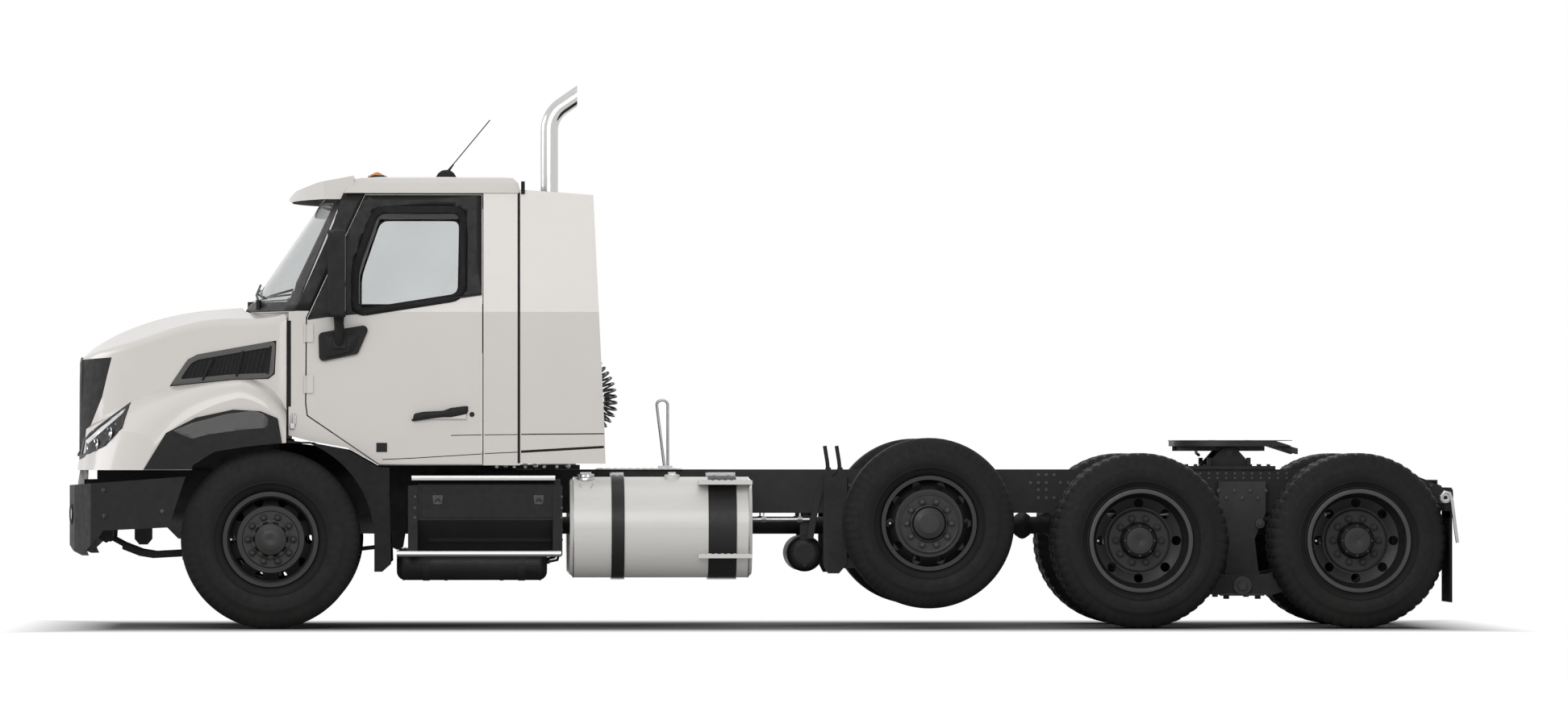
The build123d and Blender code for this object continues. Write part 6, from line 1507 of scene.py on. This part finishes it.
def build_cabin():
    wheel = Shape()
    centre = at(-0.620, SEAT_Y, 1.905)
    tilt, reach, grip = radians(42), 0.211, 0.0135
    axis = Vector((-sin(tilt), 0, cos(tilt)))
    across, up = axes_of(axis)
    hub = centre + axis * 0.013
    loops = []
    for a in [*turns(64), 0.0]:
        out = across * cos(a) + up * sin(a)
        loops.append(circle(hub + out * reach, out, axis, grip, 12))
    wheel.rings(loops, cap=False)
    wheel.make("steering_rim", VINYL, "dash_plastic", smooth=60)
    hubs = Shape()
    hubs.lathe(hub, axis, [(-0.02, 0.055), (0.004, 0.062), (0.016, 0.052), (0.020, 0.030), (0.021, 0.0)], 40)
    for a in (0.0, pi, -pi / 2):
        out = across * cos(a) + up * sin(a)
        side_way = axis.cross(out)
        hubs.rings([[hub + out * r + side_way * (w * s) + axis * h for s, h in ((-1, 0.006), (1, 0.006),
            (1, -0.008), (-1, -0.008))] for r, w in ((0.05, 0.030), (0.13, 0.017), (0.203, 0.022))])
    hubs.make("steering_hub", DASH, "dash_plastic", bevel=0.004)
    dials, panels = Shape(), Shape()
    panels.rings([[at(x, y, z) for y, z in rounded(face, 0.03)] for x, face in ((-0.452,
        [(0.26, 1.765), (0.78, 1.765), (0.76, 1.885), (0.28, 1.885)]),
        (-0.474, [(0.27, 1.772), (0.77, 1.772), (0.75, 1.878), (0.29, 1.878)]))])
    panels.rings([[at(-0.25, y, 1.980), at(-0.25, y, 2.010), at(-0.40, y, 1.992), at(-0.452, y, 1.930),
        at(-0.43, y, 1.895)] for y in (0.25, 0.33, 0.71, 0.79)])
    for y in (0.36, 0.52, 0.68):
        dials.lathe(at(-0.474, y, 1.826), BACKWARD, [(0.0, 0.044), (0.004, 0.043), (0.004, 0.036),
            (0.001, 0.034), (0.001, 0.0)], 36)
    for row in range(3):
        for column in range(6):
            panels.box(at(-0.478, 0.05 - column * 0.045, 1.80 + row * 0.032),
                at(-0.462, 0.083 - column * 0.045, 1.823 + row * 0.032))
    for y in (-0.95, -0.32, 0.17, 0.93):
        for k in range(5):
            panels.box(at(-0.455, y - 0.055, 1.893 + k * 0.011), at(-0.430, y + 0.055, 1.898 + k * 0.011))
    panels.box(at(-0.480, -0.86, 1.700), at(-0.440, -0.42, 1.875))
    panels.make("dash_panels", DASH, "dash_plastic", bevel=0.003)
    dials.make("dash_dials", TRIM, "dash_plastic", smooth=40)
    liner = Shape()
    liner.box(at(-1.500, -1.085, 1.0975), at(-0.700, 1.085, 1.112))
    liner.rings([[at(x, y, z) for y, z in ((-0.99, 2.690), (-0.95, 2.735), (0.0, 2.748), (0.95, 2.735),
        (0.99, 2.690), (0.97, 2.685), (0.0, 2.735), (-0.97, 2.685))] for x in (-0.60, -1.49)])
    liner.box(at(-1.508, -1.03, 1.12), at(-1.496, 1.03, 2.00))
    liner.make("cabin_liner", LINER, "dash_plastic", bevel=0.004)
    lever = Shape()
    lever.tube([at(-0.80, 0.16, 1.11), at(-0.78, 0.16, 1.40), at(-0.76, 0.17, 1.62)], 0.009, 10)
    lever.lathe(at(-0.76, 0.17, 1.62), (0.05, 0.02, 1), [(0.0, 0.012), (0.02, 0.026), (0.045, 0.028),
        (0.062, 0.016), (0.065, 0.0)], 20)
    lever.lathe(at(-0.80, 0.16, 1.11), UP, [(0.0, 0.09), (0.03, 0.075), (0.07, 0.04), (0.14, 0.014)], 24)
    for y in (0.40, 0.52, 0.64):
        lever.box(at(-0.475, y - 0.035, 1.30), at(-0.455, y + 0.035, 1.42))
        lever.tube([at(-0.465, y, 1.42), at(-0.36, y, 1.66)], 0.008, 8)
    lever.make("lever_and_pedals", VINYL, "dash_plastic", bevel=0.002, smooth=50)
    visors = Shape()
    for y in (-0.48, 0.48):
        visors.rings([[at(x, y + dy, z) for dy in (-0.30, 0.30)] + [at(x + 0.012, y + dy, z + 0.012)
            for dy in (0.30, -0.30)] for x, z in ((-0.545, 2.600), (-0.640, 2.680))])
    visors.make("cabin_sun_flaps", LINER, "dash_plastic", bevel=0.004)


# ---- floor, light, camera ----
def light(name, place, aim, size, power):
    data = bpy.data.lights.new(name, "AREA")
    data.shape = "RECTANGLE"
    data.size, data.size_y = size
    data.energy = power
    made = bpy.data.objects.new(name, data)
    made.location = place
    made.rotation_euler = (Vector(aim) - Vector(place)).to_track_quat("-Z", "Y").to_euler()
    bpy.context.scene.collection.objects.link(made)


def unseen_white(nodes, lit, white):
    """Mixes in the white shader where the ray comes from the camera, a gloss or through glass."""
    path = nodes.add("LightPath", {})
    seen = nodes.math("ADD", path["Is Camera Ray"], path["Is Glossy Ray"], clamp=True)
    seen = nodes.math("ADD", seen, path["Is Transmission Ray"], clamp=True)
    return nodes.add("MixShader", {0: seen, 1: lit, 2: white})[0]


# the floor is painted dark grey within the first distance, a painted shadow round the truck that also takes
# the real shade, and is white from the second, aside and at the ends
SHADE_ASIDE = (1.35, 2.6)
SHADE_ENDS = (4.1, 4.75)


WHITE = (1, 1, 1, 1)
# the photograph's viewpoint: far to the left and a little ahead of the middle, at hub height
CAMERA_PLACE, CAMERA_AIM, LENS_MM = Vector((1.977, 68.2, 1.06)), Vector((-0.108, 1.245, 1.675)), 245.2


def build_stage():
    world = bpy.data.worlds.new("studio")
    bpy.context.scene.world = world
    world.use_nodes = True
    world.node_tree.nodes.clear()
    sky = Nodes(world.node_tree)
    soft, white = [sky.add("Background", {"Color": WHITE, "Strength": power})[0] for power in (0.60, 1.0)]
    sky.add("OutputWorld", {0: unseen_white(sky, soft, white)})

    mesh = bpy.data.meshes.new("floor")
    mesh.from_pydata([(-90, -60, 0), (90, -60, 0), (90, 90, 0), (-90, 90, 0)], [], [(0, 1, 2, 3)])
    floor = bpy.data.objects.new("floor", mesh)
    bpy.context.scene.collection.objects.link(floor)
    material, made, shader = new_material("floor_pale")
    made.tree.nodes.remove(shader)
    # under and beside the truck the floor is painted dark grey, a painted shadow that also takes the real
    # shade; farther out it glows white, like the backdrop
    place = made.add("SeparateXYZ", {0: made.add("NewGeometry", {})["Position"]})
    aside = made.math("ABSOLUTE", place["Y"])
    ends = made.math("ABSOLUTE", made.math("SUBTRACT", place["X"], sum(corner[0] for corner in CAD_BOX) / 2))
    far = made.math("MAXIMUM", made.ramp(aside, *SHADE_ASIDE), made.ramp(ends, *SHADE_ENDS))
    painted_shadow_matte = made.add("BsdfDiffuse", {"Color": made.mix(far, (0.20, 0.20, 0.20), (0.0, 0.0, 0.0))})
    glow = made.add("Emission", {"Color": WHITE, "Strength": far})
    both = made.add("AddShader", {0: painted_shadow_matte[0], 1: glow[0]})
    pale = made.add("BsdfDiffuse", {"Color": (0.60, 0.60, 0.60, 1)})
    made.put(made.tree.nodes["Material Output"], {0: unseen_white(made, pale[0], both[0])})
    mesh.materials.append(material)

    # name, place, aim, size and power
    light("key", (3.5, 15.0, 7.0), (0.0, 1.0, 1.2), (12, 7), 1080)
    light("top", (0.0, 0.5, 13.0), (0, 0, 1), (13, 6), 260)
    light("back", (-6.0, -13.0, 9.0), (0, 0, 1.2), (10, 6), 500)
    light("front", (14.0, -2.0, 6.0), (2, 0, 1.2), (7, 5), 450)

    data = bpy.data.cameras.new("camera")
    data.lens = LENS_MM
    data.sensor_width = 36.0
    data.clip_end = 400.0
    camera = bpy.data.objects.new("camera", data)
    camera.location = CAMERA_PLACE
    camera.rotation_euler = (CAMERA_AIM - CAMERA_PLACE).to_track_quat("-Z", "Y").to_euler()
    bpy.context.scene.collection.objects.link(camera)
    bpy.context.scene.camera = camera
    bpy.context.scene.view_settings.view_transform = "Standard"


for build in (dress_nodes, build_stage, build_lines, build_wheels, build_doors, build_cab, build_roof,
        build_mirrors, build_hood, build_bumper, build_chassis, build_side_gear, build_deck_and_tail,
        build_stack, build_seats, build_cabin):
    build()
